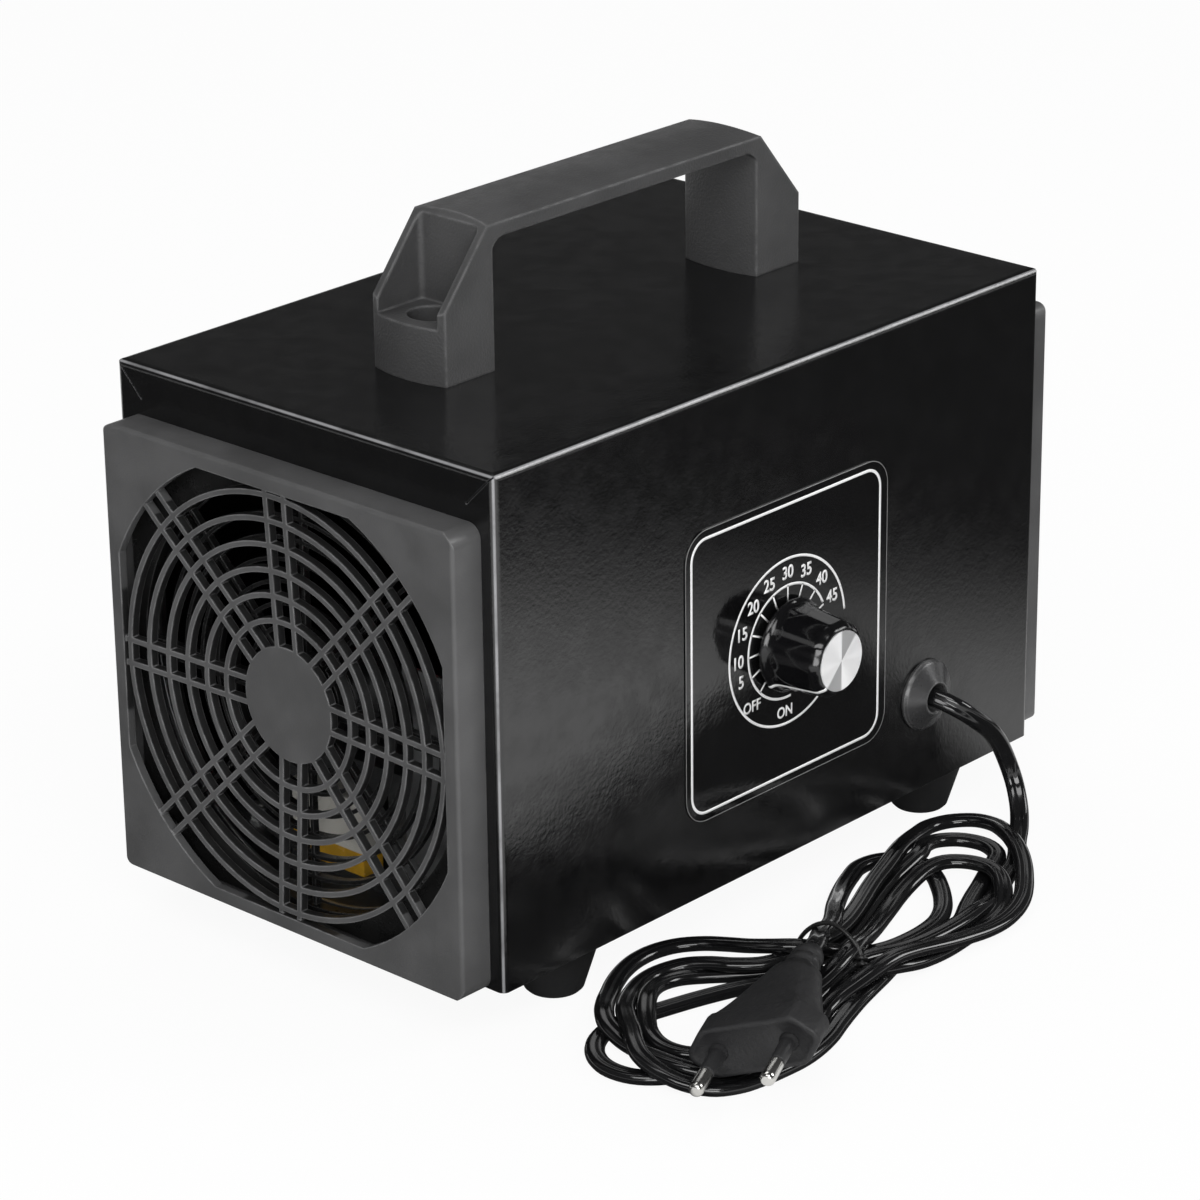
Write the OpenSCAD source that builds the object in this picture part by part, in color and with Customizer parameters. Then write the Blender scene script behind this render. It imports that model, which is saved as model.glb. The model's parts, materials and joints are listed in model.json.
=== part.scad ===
// Steel-cased portable air treatment unit: a folded case with a bridge handle, a
// plastic fan guard at each end, a 45 minute timer knob, an axial fan and a ceramic
// ozone cell inside, and a mains cord tied in a hank on the floor beside it.
// Millimetres. +Z is up, z = 0 is the floor, X runs along the air flow and the
// control face looks along -Y. The origin is under the middle of the unit's box.

/* [Case] */
// Length of the case along the air flow
case_l = 214; // [200:1:260]
// Room between the fan and the case's lining at each side
side_room = 6.4; // [6:0.2:16]
// Height of the case above the fan guards
head_room = 13.5; // [11.5:0.5:40]
// Thickness of the folded sheet steel
sheet = 1; // [0.8:0.1:1.4]
// Outside radius of the bends
bend_r = 2; // [1.6:0.1:3]
// Width of the flanges folded in at both ends
flange_w = 19; // [17:0.5:22]
// Width of the lips folded under the chassis
lip_w = 27; // [25:0.5:34]

/* [Feet] */
// Height of a rubber foot
foot_h = 14; // [10:0.5:20]
// Radius of a foot at the case
foot_top_r = 12; // [10:0.5:12.5]
// Radius of a foot at the floor
foot_bottom_r = 7.9; // [6.5:0.1:9]
// Distance of a foot's axis from the end of the case
foot_inset_x = 32; // [20:1:45]
// Distance of a foot's axis from the side of the case
foot_inset_y = 13; // [12.6:0.2:16]

/* [Handle] */
// Length of the handle along its sides
handle_l = 137; // [120:1:150]
// Width of the handle
handle_w = 25.5; // [24:0.5:32]
// Height of the handle at the edge of the grip
handle_h = 38.8; // [34:0.2:48]
// Length of the flat top of the grip
grip_l = 105.4; // [98:0.2:108]
// Thickness of the grip at its edges
grip_t = 3.7; // [3:0.1:5]
// Height of the vertical part of the outer ends
post_h = 19.6; // [17:0.2:22]
// Clear length between the posts at the sides
finger_gap_l = 102.6; // [90:0.2:104]
// Distance that the ends bulge outwards
end_bulge = 2.2; // [1:0.1:3]
// Height of the crown of the grip
grip_crown = 1.2; // [0.6:0.1:2]
// Height of the screw ledge above the case
ledge_h = 15; // [12:0.5:16]
// Wall thickness at the sides of a screw well
well_wall = 2.2; // [1.6:0.1:3]
// Distance between the two handle screws
handle_pitch = 120.6; // [114:0.2:124]
// Sideways offset of the handle from the middle of the case
handle_offset = -1.4; // [-4:0.2:4]

/* [Fan guards] */
// Distance that the square guard reaches past the fan on each side
guard_margin = 3; // [2:0.25:4]
// Depth of the guard in front of the case
guard_depth = 10; // [9:0.5:14]
// Distance that the guard hangs below the case
guard_drop = 0.5; // [0:0.1:1]
// Corner radius of the guard
guard_corner_r = 4; // [2:0.5:6]
// Front wall of the snap-on cover
guard_front_t = 2.4; // [2:0.1:3]
// Side wall of the snap-on cover
guard_wall = 1.6; // [1.2:0.1:2.4]
// Width of the cover's frame beside the grille opening
frame_w = 4.2; // [3.4:0.1:6]
// Distance that the opening's round corners reach past its flat sides
corner_reach = 6.1; // [4:0.1:8]
// Radius of the disc in the middle of the grille
grille_hub_r = 15.6; // [12:0.2:20]
// Number of rings outside the disc
ring_count = 6; // [4:1:7]
// Width of a ring or a rib
rib_w = 1.5; // [1.2:0.1:2]
// Distance between the two ribs of a spoke, centre to centre
spoke_gap = 6.6; // [5:0.2:9]
// Depth that the grille is dished at its disc
grille_dish = 3; // [1:0.2:4]
// Depth of the grille's ribs
rib_d = 2.4; // [1.8:0.1:3]
// Thickness of the screwed-on guard base
base_t = 3.2; // [2.6:0.1:4]
// Width of the ribs of the guard base
base_rib_w = 1.1; // [0.9:0.1:1.6]
// Distance between the two ribs of a base spoke
base_spoke_gap = 3.4; // [2.6:0.2:5]

/* [Fan] */
// Side of the square fan frame
fan_size = 119; // [117:0.5:119.6]
// Depth of the fan frame
fan_depth = 25; // [24:1:30]
// Distance of the fan's screw holes from its sides
fan_hole_inset = 7; // [6.8:0.1:8]
// Thinnest wall of the fan frame beside the air duct
duct_wall = 2.5; // [2:0.1:5]
// Radius of the rotor hub
fan_hub_r = 21; // [19:0.5:26]
// Number of blades
blade_count = 7; // [5:1:9]
// Running gap between the blade tips and the duct
tip_gap = 1.2; // [0.8:0.1:2]
// Pitch angle of a blade
blade_angle = 38; // [30:1:45]
// Radius of the fan shaft
fan_shaft_r = 2.5; // [2:0.1:3]

/* [Timer and knob] */
// Place of the knob along the case
knob_x = 1.7; // [-20:0.1:20]
// Height of the knob above the bottom of the case
knob_z = 61; // [55:0.5:75]
// Length of the knob
knob_l = 17.6; // [14:0.2:24]
// Radius of the knob's skirt
skirt_r = 12.8; // [11.6:0.1:16]
// Radius of the knob's grip at its front
knob_front_r = 10.3; // [9.4:0.1:11.4]
// Radius of the metal cap
cap_r = 8.2; // [6.6:0.1:8.8]
// Radius of the timer shaft
timer_shaft_r = 3; // [2.5:0.1:3.5]
// Side of the label plate
label_size = 81; // [70:0.5:90]
// Thickness of the label plate
label_t = 0.3; // [0.2:0.1:0.6]
// Side of the square timer housing
timer_size = 47; // [42:1:56]
// Depth of the timer housing
timer_d = 26; // [22:1:34]
// Distance between the timer's two screws
timer_pitch = 34; // [32:0.5:38]

/* [Cord] */
// Width of the flat twin cord
cord_w = 5.2; // [4.8:0.1:5.6]
// Thickness of the flat twin cord
cord_t = 3.1; // [2.8:0.1:3.4]
// Place of the grommet along the case
grommet_x = 60.2; // [58:0.2:64]
// Height of the grommet above the bottom of the case
grommet_z = 27.5; // [26:0.5:30]
// Radius of the grommet's flange
grommet_r = 10; // [9:0.2:11]
// Radius of the hole in the panel for the grommet
grommet_hole_r = 6.5; // [5.6:0.1:7]
// Height of the tied hank
hank_h = 10; // [9:0.5:12]

/* [Hidden] */
$fn = 96;
eps = 0.01;
cut = 1;                       // how far a cutter runs past a face
nest = 0.1;                    // clearance between nested sheets
run_gap = 0.03;                // radial running clearance of a shaft

// Case and chassis
lining = sheet + nest;
guard_size = fan_size + 2 * guard_margin;
case_w = fan_size + 2 * (side_room + lining);
case_h = guard_size - guard_drop + head_room;
case_z0 = foot_h;
case_z1 = foot_h + case_h;
half_l = case_l / 2;
half_w = case_w / 2;
inner_l = case_l - 2 * lining;
inner_w = case_w - 2 * lining;
floor_z = case_z0 + 2 * sheet + nest;   // top of the chassis base
wall_top = case_z1 - lining - bend_r + sheet;   // the chassis' end walls stay under the bend
mitre_w = 0.35;                // open seam between two end flanges
mitre_l = 12.3;
mitre_start = 0.7;
clear_duct = 1.2;              // how far the cover's end opening clears the duct

// Feet and their screws
foot_x = half_l - foot_inset_x;
foot_y = half_w - foot_inset_y;
m4_r = 2;
m4_head_r = 3.9;
m4_head_h = 2.4;
m4_nut_r = 4;                  // across corners
m4_nut_h = 3.2;
screw_gap = 0.25;              // radial clearance of a screw in its hole
foot_web = 4;                  // rubber under the screw head
foot_screw_tip = 0.2;          // short, because the fan's screws pass just above

// Handle
well_half_w = handle_w / 2 - well_wall;
finger_half_l = finger_gap_l / 2;
finger_h = handle_h - grip_t;
inner_bulge = 2;
inner_fillet_r = 5;
well_back_x = finger_half_l + 1.8;
handle_z = case_z1;
m5_r = 2.5;
m5_head_r = 4.75;
m5_head_h = 3;
m5_nut_r = 4.6;
m5_nut_h = 4;
well_hole_r = 6.4;
well_floor = 4;                // plastic under the screw head
washer_r = 5.5;
washer_t = 1;

// Guards
guard_z = case_z0 + guard_size / 2 - guard_drop;
guard_x = half_l;              // the guards' back plane
grille_flats = guard_size - 2 * frame_w;
grille_r = grille_flats / 2 + corner_reach;
ring_pitch = (grille_flats / 2 - 1.5 - grille_hub_r) / ring_count;
guard_edge_r = 1;
base_gap = 0.25;
base_half = guard_size / 2 - guard_wall - base_gap;
base_ring_h = 2;
guard_screw_l = 12;

// Fan
fan_pitch = fan_size - 2 * fan_hole_inset;
duct_r = fan_size / 2 - duct_wall;
fan_x1 = half_l - lining - sheet;        // inner face of the chassis' rear wall
fan_x0 = fan_x1 - fan_depth;
rotor_r = duct_r - tip_gap;
rotor_x0 = fan_x0 + 2;
rotor_x1 = fan_x1 - 5;
strut_t = 3.4;
stator_r = fan_hub_r - 4;
pole_w = 5;                    // stator pole, its shoe and the ring that holds the poles
shoe_w = 18;
shoe_t = 3;
stator_ring = 5;
bearing_r = 4.5;
bearing_l = 4.4;
tower_t = 1.5;                 // wall of the tube that holds the bearings
hub_wall = 2;
blade_t = 1.6;
blade_l = 24;
strut_w = 5;
fan_screw_l = fan_depth + sheet + sheet + nest + base_t + m4_nut_h + 1;

// Timer and knob: y values are distances in front of the control face
control_z = case_z0 + knob_z;
knob_gap = 0.5;
knob_y0 = label_t + knob_gap;
cap_proud = 0.2;
knob_reach = knob_y0 + knob_l + cap_proud;
cap_t = 0.9;
bush_r = 4.6;
bush_l = 11;
flute_count = 10;
flute_r = 3.2;
flute_d = 0.7;                 // depth of a flute at the knob's front
shaft_tip = knob_y0 + 2 + bush_l - 1;
timer_plate_t = 1.6;
bushing_r = timer_shaft_r + 2.4;         // threaded neck of the timer
bushing_l = 0.8;
csk_r = 3.7;
label_corner_r = 8;
label_x = knob_x + 0.3;
label_z = control_z + 0.8;
terminal_pitch = 12;
terminal_w = 6.3;
terminal_l = 8;
terminal_t = 0.8;
terminal_drop = 8;             // terminals below the knob's axis

// The unit's box is centred on the origin in Y
shift_y = knob_reach / 2;

// Ozone cell and supply
rack_l = 70;
rack_w = 22;
rack_gap = 1;                  // clearance between the rack and the foot nuts
rack_x0 = -half_l + 7;
rack_y = -foot_y + m4_nut_r + rack_gap + rack_w / 2;
rack_h = 74;
rack_t = 1.2;
plate_l = 60;
plate_h = 50;
plate_t = 1;
plate_z = floor_z + 17;
plate_gap = 10;
electrode_t = 0.2;
core_x = -half_l + 29;
core_y = 6;
core_l = 22;
core_w = 44;
core_h = 36;
module_x = -18;
module_y = 8;
module_l = 62;
module_w = 44;
module_h = 30;
block_l = 16;
block_w = 40;
block_h = 16;
block_pitch = 12;
block_screw_r = 2.6;
block_wire_r = 2;
block_wire_h = 6;
block_bore = 5;                // depth of a wire's hole
block_x = half_l - 61;
block_y = half_w - 33;
wire_r = 1.1;
wire_h = floor_z + block_wire_h;
fan_wire_y = 40;               // where the fan's wire leaves its frame
fan_wire_drop = 46;

// Cord route, plug and hank. Each point is on the cord's centre line
grommet_h = case_z0 + grommet_z;
grommet_front = 4.4;
grommet_neck_d = 4;
lead_start = 3;                // how far inside the panel the free lead starts
lead_gap = 0.3;                // clearance of the free cord and the wires at what they meet
right_lobe = [43.5, -97.5, 30];          // x, y and radius
lead_side = [0.967, 0.253];              // from the lobe's middle towards the lead's end
function beside_lobe(d, z) = [right_lobe[0] + (right_lobe[2] + d) * lead_side[0],
  right_lobe[1] + (right_lobe[2] + d) * lead_side[1], z];
lead_points = [
  [grommet_x, -half_w + lead_start, grommet_h], [grommet_x, -half_w - 4, grommet_h],
  [61.7, -74, 40], [66.4, -77, 36.6], [72, -79.6, 31.2], [76, -82, 25], [78, -84.6, 18.6],
  [77.8, -86.8, 12.4], beside_lobe(4.3, 8), beside_lobe(3, 5.6), beside_lobe(2.4 * lead_gap, 5)];
left_lobe = [-68, -102, 32];
neck = [-21, -108, 11.5];
plug_face = [-86.8, -131.6, 13.6];
plug_yaw = 203.6;
plug_pitch = 3;
plug_roll = 18.5;
plug_room = 0.5;               // clearance that the hank leaves round the plug
plug_w = 35.3;
plug_t = 13.7;
plug_front_l = 9;
plug_l = 35;
relief_l = 14;
relief_r = 5.2;
pin_pitch = 19;
pin_r = 2;
pin_l = 19;
pin_tip_l = 1;
plug_dir = [cos(plug_yaw) * cos(plug_pitch), sin(plug_yaw) * cos(plug_pitch), -sin(plug_pitch)];
plug_end = plug_face - (plug_l + relief_l) * plug_dir;
tail_points = [plug_end - lead_gap * plug_dir, plug_end - 4 * plug_dir,
  [-34, -108, hank_h + 5.5], [-30.6, -106.6, hank_h + 3], [-30.4, -106.5, hank_h + lead_gap]];
tie_t = 1.3;
tie_w = 2;
tie_room = 2;                  // the tie lies loose at the hank's sides

// ---------------------------------------------------------------- helpers

// Moves a piece from the case's own middle to the unit's origin
module in_place() translate([0, shift_y, 0]) children();

// Square with rounded corners, centred
module round_square(size, r) {
  square([size[0] - 2 * r, size[1]], center = true);
  square([size[0], size[1] - 2 * r], center = true);
  for (x = [-1, 1], y = [-1, 1])
    translate([x * (size[0] / 2 - r), y * (size[1] / 2 - r)]) circle(r);
}

// Rectangle from y = 0 upwards with its two upper corners rounded
module tab(w, h, r) {
  translate([-w / 2, 0]) square([w, h - r]);
  translate([-w / 2 + r, 0]) square([w - 2 * r, h]);
  for (x = [-1, 1]) translate([x * (w / 2 - r), h - r]) circle(r);
}

// Block on z = z0 with all upper and upright edges rounded
module folded_block(l, w, h, z0, r) intersection() {
  translate([0, 0, z0]) rotate([90, 0, 90])
    linear_extrude(l, center = true) tab(w, h, r);
  translate([0, 0, z0]) rotate([90, 0, 0])
    linear_extrude(w + 2 * cut, center = true) tab(l, h, r);
  translate([0, 0, z0 - cut]) linear_extrude(h + 2 * cut) round_square([l, w], r);
}

// Cylinder lying along X from x0 to x1
module rod_x(r, x0, x1) translate([x0, 0, 0]) rotate([0, 90, 0]) cylinder(r = r, h = x1 - x0);

// Cylinder standing out of the control face, y0 to y1 in front of it
module rod_y(r, y0, y1) translate([0, -half_w - y0, 0]) rotate([90, 0, 0])
  cylinder(r = r, h = y1 - y0);

// The knob's axis
module at_knob() translate([knob_x, 0, control_z]) children();

// The four corners of a square screw pattern on an end wall
module at_corners(pitch) for (y = [-1, 1], z = [-1, 1])
  translate([0, y * pitch / 2, guard_z + z * pitch / 2]) children();

// Pan-head screw along X: the head's seat is at x = 0, the shank runs to +X
module screw_x(r, head_r, head_h, l) {
  rod_x(r, 0, l);
  rotate([0, -90, 0]) rotate_extrude() polygon([[0, 0], [head_r, 0],
    [head_r, head_h * 0.45], [head_r * 0.72, head_h], [0, head_h]]);
}

// Hexagon nut along X from x = 0, with its bore
module nut_x(corner_r, bore_r, h) difference() {
  rotate([0, 90, 0]) cylinder(r = corner_r, h = h, $fn = 6);
  rod_x(bore_r, -cut, h + cut);
}

// Point on a smooth curve through p1 and p2
function curve_point(p0, p1, p2, p3, t) = 0.5 * (2 * p1 + (p2 - p0) * t
  + (2 * p0 - 5 * p1 + 4 * p2 - p3) * t * t + (3 * p1 - p0 - 3 * p2 + p3) * t * t * t);

// Smooth route through all the points, with n steps from each to the next
function route(p, n) = let (last = len(p) - 1) concat(
  [for (i = [0:last - 1], j = [0:n - 1]) curve_point(p[max(i - 1, 0)], p[i], p[i + 1],
    p[min(i + 2, last)], j / n)], [p[last]]);

function unit(v) = v / norm(v);
function direction(p, i) = unit(p[min(i + 1, len(p) - 1)] - p[max(i - 1, 0)]);
function across(v, d) = unit(v - (v * d) * d);

// One side vector per point, carried along the route without twist
function sides(p, i, v, out = []) = i == len(p) ? out :
  let (s = across(v, direction(p, i))) sides(p, i + 1, s, concat(out, [s]));

// Closed tube along a route, w wide and t thick; first is the side its width starts along
module tube(points, w, t, steps, first = [0.13, 0.02, 0.99], n = 8) {
  p = route(points, steps);
  s = sides(p, 0, first);
  rings = [for (i = [0:len(p) - 1]) let (d = direction(p, i), b = cross(d, s[i]))
    for (k = [0:n - 1]) p[i] + w / 2 * cos(360 * k / n) * s[i] + t / 2 * sin(360 * k / n) * b];
  last = (len(p) - 1) * n;
  polyhedron(points = rings, convexity = 6, faces = concat(
    [[for (k = [0:n - 1]) n - 1 - k]], [[for (k = [0:n - 1]) last + k]],
    [for (i = [0:len(p) - 2], k = [0:n - 1]) let (a = i * n + k, b = i * n + (k + 1) % n)
      [a, b, b + n, a + n]]));
}

// ---------------------------------------------------------------- case

// End opening of the folded cover: its flanges stop here and clear the duct
module end_opening() {
  translate([-half_w + flange_w, case_z0 - cut])
    square([case_w - 2 * flange_w, case_h - flange_w + cut]);
  translate([0, guard_z]) circle(duct_r + clear_duct);
}

module mitre_slits() for (side = [-1, 1])
  translate([0, side * half_w, case_z1]) rotate([-side * 45, 0, 0])
    translate([0, 0, -mitre_start - mitre_l / 2]) cube([case_l + cut, mitre_w, mitre_l], center = true);

module case_cover() color("#1c1c1e") in_place() difference() {
  folded_block(case_l, case_w, case_h, case_z0, bend_r);
  difference() {
    folded_block(case_l - 2 * sheet, case_w - 2 * sheet, case_h - sheet, case_z0, bend_r - sheet);
    for (y = [-1, 1]) translate([0, y * (half_w - lip_w / 2), case_z0 + sheet / 2])
      cube([case_l, lip_w, sheet], center = true);
  }
  rotate([90, 0, 90]) linear_extrude(case_l + cut, center = true) end_opening();
  for (x = [-1, 1]) translate([x * (half_l + cut / 2), 0, 0]) intersection() {
    mitre_slits();
    cube([2 * sheet + cut, case_w + cut, 3 * case_z1], center = true);
  }
  at_knob() rod_y(bushing_r + 0.4, -2 * sheet, cut);
  for (x = [-1, 1]) translate([knob_x + x * timer_pitch / 2, -half_w, control_z])
    rotate([-90, 0, 0]) {
      translate([0, 0, -eps]) cylinder(r1 = csk_r + 0.1, r2 = m4_r + screw_gap, h = sheet + eps);
      cylinder(r = m4_r + screw_gap, h = 2 * sheet);
    }
  translate([grommet_x, 0, grommet_h]) rod_y(grommet_hole_r, -2 * sheet, cut);
  for (x = [-1, 1]) translate([x * handle_pitch / 2, handle_offset, case_z1 - 2 * sheet])
    cylinder(r = m5_r + screw_gap, h = 3 * sheet);
  at_corners(fan_pitch) rod_x(m4_r + screw_gap, -half_l - cut, half_l + cut);
  at_feet() translate([0, 0, case_z0 - cut]) cylinder(r = m4_r + screw_gap, h = 3 * sheet);
}

module chassis() color("#8d9093") in_place() difference() {
  union() {
    translate([0, 0, floor_z - sheet / 2])
      cube([inner_l, inner_w - 2 * (bend_r - sheet), sheet], center = true);
    for (x = [-1, 1]) translate([x * (inner_l - sheet) / 2, 0, 0])
      rotate([90, 0, 90]) linear_extrude(sheet, center = true)
        translate([0, floor_z - sheet]) tab(inner_w - 2 * (bend_r - sheet),
          wall_top - floor_z + sheet, bend_r);
    for (x = [-1, 1], y = [-1, 1]) translate([x * (inner_l / 2 - 4.5),
        y * (inner_w / 2 - bend_r + sheet - sheet / 2), (floor_z + wall_top) / 2 - 4])
      cube([9, sheet, wall_top - floor_z - 8], center = true);
  }
  rotate([90, 0, 90]) linear_extrude(case_l, center = true)
    translate([0, guard_z]) circle(duct_r);
  at_corners(fan_pitch) rod_x(m4_r + screw_gap, -half_l, half_l);
  at_feet() translate([0, 0, case_z0]) cylinder(r = m4_r + screw_gap, h = 4 * sheet);
}

module at_feet() for (x = [-1, 1], y = [-1, 1])
  translate([x * foot_x, y * foot_y, 0]) children();

module rubber_feet() color("#1a1a1a") in_place() at_feet() rotate_extrude()
  polygon([[m4_r + screw_gap, foot_h], [m4_r + screw_gap, foot_h - foot_web],
    [m4_head_r + 0.8, foot_h - foot_web], [m4_head_r + 0.8, 0], [foot_bottom_r - 0.8, 0],
    [foot_bottom_r, 0.8], [foot_top_r, foot_h]]);

module foot_screws() color("#b9bcc0") in_place() at_feet()
  translate([0, 0, foot_h - foot_web]) rotate([0, -90, 0])
    screw_x(m4_r, m4_head_r, m4_head_h, foot_web + 2 * sheet + nest + m4_nut_h + foot_screw_tip);

module foot_nuts() color("#b9bcc0") in_place() at_feet()
  translate([0, 0, floor_z]) rotate([0, -90, 0]) nut_x(m4_nut_r, m4_r, m4_nut_h);

// ---------------------------------------------------------------- handle

module handle_plan(half, bulge) {
  r = (handle_w * handle_w / 4 + bulge * bulge) / (2 * bulge);
  square([2 * (half + bulge - r), handle_w], center = true);
  for (x = [-1, 1]) intersection() {
    translate([x * (half + bulge - r), 0]) circle(r);
    square([2 * (half + bulge), handle_w], center = true);
  }
}

module finger_plan() difference() {
  half = handle_w / 2 + cut;
  r = (half * half + inner_bulge * inner_bulge) / (2 * inner_bulge);
  square([finger_gap_l, 2 * half], center = true);
  for (x = [-1, 1]) translate([x * (finger_half_l - inner_bulge + r), 0]) circle(r);
}

module handle() color("#232324") in_place() translate([0, handle_offset, handle_z])
  difference() {
    xm = handle_l / 2 + end_bulge;
    slope = (handle_h - post_h) / ((handle_l - grip_l) / 2);
    top = handle_h + grip_crown;
    high = top + 3;            // the blank stands above its crown
    high_x = grip_l / 2 - (high - handle_h) / slope;
    crown_r = (handle_w * handle_w / 4 + grip_crown * grip_crown) / (2 * grip_crown);
    intersection() {
      rotate([90, 0, 0]) linear_extrude(handle_w + cut, center = true) polygon([
        [-xm, 0], [-xm, post_h - end_bulge * slope], [-high_x, high],
        [high_x, high], [xm, post_h - end_bulge * slope], [xm, 0]]);
      linear_extrude(high + cut) handle_plan(handle_l / 2, end_bulge);
      translate([0, 0, top - crown_r]) rod_x(crown_r, -xm, xm, $fn = 360);
    }
    intersection() {
      translate([0, 0, -cut]) rotate([90, 0, 0]) linear_extrude(handle_w + 2 * cut, center = true)
        tab(finger_gap_l + 0.5, finger_h + cut, inner_fillet_r);
      translate([0, 0, -cut]) linear_extrude(finger_h + 2 * cut) finger_plan();
    }
    for (x = [-1, 1]) {
      translate([x * (well_back_x + 15), 0, ledge_h]) linear_extrude(top)
        round_square([30, 2 * well_half_w], 1.5);
      translate([x * (well_back_x + 20), 0, ledge_h + top / 2])
        cube([30, 2 * well_half_w, top], center = true);
      translate([x * handle_pitch / 2, 0, -cut]) cylinder(r = m5_r + screw_gap, h = ledge_h);
      translate([x * handle_pitch / 2, 0, well_floor]) cylinder(r = well_hole_r, h = ledge_h);
    }
  }

module at_handle_screws() for (x = [-1, 1])
  translate([x * handle_pitch / 2, handle_offset, 0]) children();

module handle_screws() color("#c4c6c9") in_place() at_handle_screws()
  translate([0, 0, handle_z + well_floor + washer_t]) rotate([0, 90, 0])
    screw_x(m5_r, m5_head_r, m5_head_h, washer_t + well_floor + sheet + m5_nut_h + 1.5);

module handle_washers() color("#c4c6c9") in_place() at_handle_screws()
  translate([0, 0, handle_z + well_floor]) difference() {
    cylinder(r = washer_r, h = washer_t);
    translate([0, 0, -cut]) cylinder(r = m5_r, h = washer_t + 2 * cut);
  }

module handle_nuts() color("#c4c6c9") in_place() at_handle_screws()
  translate([0, 0, case_z1 - sheet]) rotate([0, 90, 0]) nut_x(m5_nut_r, m5_r, m5_nut_h);

// ---------------------------------------------------------------- fan guards

module grille_opening(grow = 0) intersection() {
  circle(grille_r + grow);
  square(grille_flats + 2 * grow, center = true);
}

// Rings, disc and double spokes, all the way out to the opening
module grille_pattern(hub_r, pitch, w, gap) {
  circle(hub_r);
  for (i = [1:ring_count]) difference() {
    circle(hub_r + i * pitch + w / 2);
    circle(hub_r + i * pitch - w / 2);
  }
  for (k = [0:7]) rotate(45 * k) for (y = [-1, 1])
    translate([hub_r * 0.6, y * gap / 2 - w / 2]) square([grille_r, w]);
}

// Cup that lies between the dished front and back faces of the grille; the axis is X
module dish_zone() rotate([0, -90, 0]) rotate_extrude() polygon([
  [0, guard_depth - grille_dish], [grille_hub_r, guard_depth - grille_dish],
  [grille_r + 2, guard_depth - 0.3], [grille_r + 2, guard_depth - 0.3 - rib_d],
  [grille_hub_r, guard_depth - grille_dish - rib_d],
  [0, guard_depth - grille_dish - rib_d]]);

// Guard cover with its back on x = 0, looking along -X
module guard_cover() translate([0, 0, guard_z]) union() {
  difference() {
    intersection() {
      rotate([0, -90, 0]) linear_extrude(guard_depth)
        round_square([guard_size, guard_size], guard_corner_r);
      linear_extrude(guard_size, center = true) side_outline();
      rotate([90, 0, 0]) linear_extrude(guard_size, center = true) side_outline();
    }
    translate([eps, 0, 0]) rotate([0, -90, 0]) linear_extrude(guard_depth - guard_front_t)
      round_square([guard_size - 2 * guard_wall, guard_size - 2 * guard_wall],
        guard_corner_r - guard_wall);
    translate([cut, 0, 0]) rotate([0, -90, 0]) linear_extrude(guard_depth + 2 * cut)
      grille_opening();
  }
  intersection() {
    rotate([0, -90, 0]) linear_extrude(guard_depth) intersection() {
      grille_pattern(grille_hub_r, ring_pitch, rib_w, spoke_gap);
      grille_opening(0.6);
    }
    dish_zone();
  }
}

// Depth-wise outline of the cover: flat back, front corners rounded
module side_outline() rotate(90) tab(guard_size, guard_depth, guard_edge_r);

// Guard base with its back on x = 0, looking along -X
module guard_base() translate([0, 0, guard_z]) difference() {
  rotate([0, -90, 0]) union() {
    linear_extrude(base_t) difference() {
      round_square([2 * base_half, 2 * base_half], guard_corner_r - guard_wall);
      circle(duct_r);
    }
    linear_extrude(base_ring_h) intersection() {
      grille_pattern(grille_hub_r - 2, (duct_r - grille_hub_r) / (ring_count + 1), base_rib_w,
        base_spoke_gap);
      circle(duct_r + 1);
    }
  }
  translate([0, 0, -guard_z]) at_corners(fan_pitch)
    rod_x(m4_r + screw_gap, -base_t - cut, cut);
}

module at_front() translate([-guard_x, 0, 0]) children();
module at_rear() translate([guard_x, 0, 0]) rotate([0, 0, 180]) children();

module front_guard_base() color("#2b2b2c") in_place() at_front() guard_base();
module front_guard_cover() color("#3a3a3b") in_place() at_front() guard_cover();
module rear_guard_base() color("#2b2b2c") in_place() at_rear() guard_base();
module rear_guard_cover() color("#3a3a3b") in_place() at_rear() guard_cover();

module front_guard_screws() color("#b9bcc0") in_place() at_corners(fan_pitch)
  translate([-guard_x - base_t, 0, 0]) screw_x(m4_r, m4_head_r, m4_head_h, guard_screw_l);

module front_guard_nuts() color("#b9bcc0") in_place() at_corners(fan_pitch)
  translate([-half_l + lining + sheet, 0, 0]) nut_x(m4_nut_r, m4_r, m4_nut_h);

// ---------------------------------------------------------------- fan

module fan_screws() color("#b9bcc0") in_place() at_corners(fan_pitch)
  translate([guard_x + base_t, 0, 0]) rotate([0, 0, 180])
    screw_x(m4_r, m4_head_r, m4_head_h, fan_screw_l);

module fan_nuts() color("#b9bcc0") in_place() at_corners(fan_pitch)
  translate([fan_x0 - m4_nut_h, 0, 0]) nut_x(m4_nut_r, m4_r, m4_nut_h);

module fan_housing() color("#202021") in_place() difference() {
  translate([0, 0, guard_z]) union() {
    difference() {
      translate([fan_x0, 0, 0]) rotate([90, 0, 90]) linear_extrude(fan_depth)
        round_square([fan_size, fan_size], 5);
      rod_x(duct_r, fan_x0 - cut, fan_x1 + cut);
    }
    translate([fan_x1 - strut_t, 0, 0]) rotate([90, 0, 90]) linear_extrude(strut_t)
      difference() {
        union() {
          circle(fan_hub_r);
          for (k = [0:2]) rotate(120 * k + 90) translate([0, -strut_w / 2])
            square([duct_r + 0.8, strut_w]);
        }
        circle(bearing_r);
      }
    rod_tube_x(bearing_r + tower_t, bearing_r, fan_x0 + 7, fan_x1 - strut_t + eps);
  }
  at_corners(fan_pitch) rod_x(m4_r + screw_gap, fan_x0 - cut, fan_x1 + cut);
}

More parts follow.
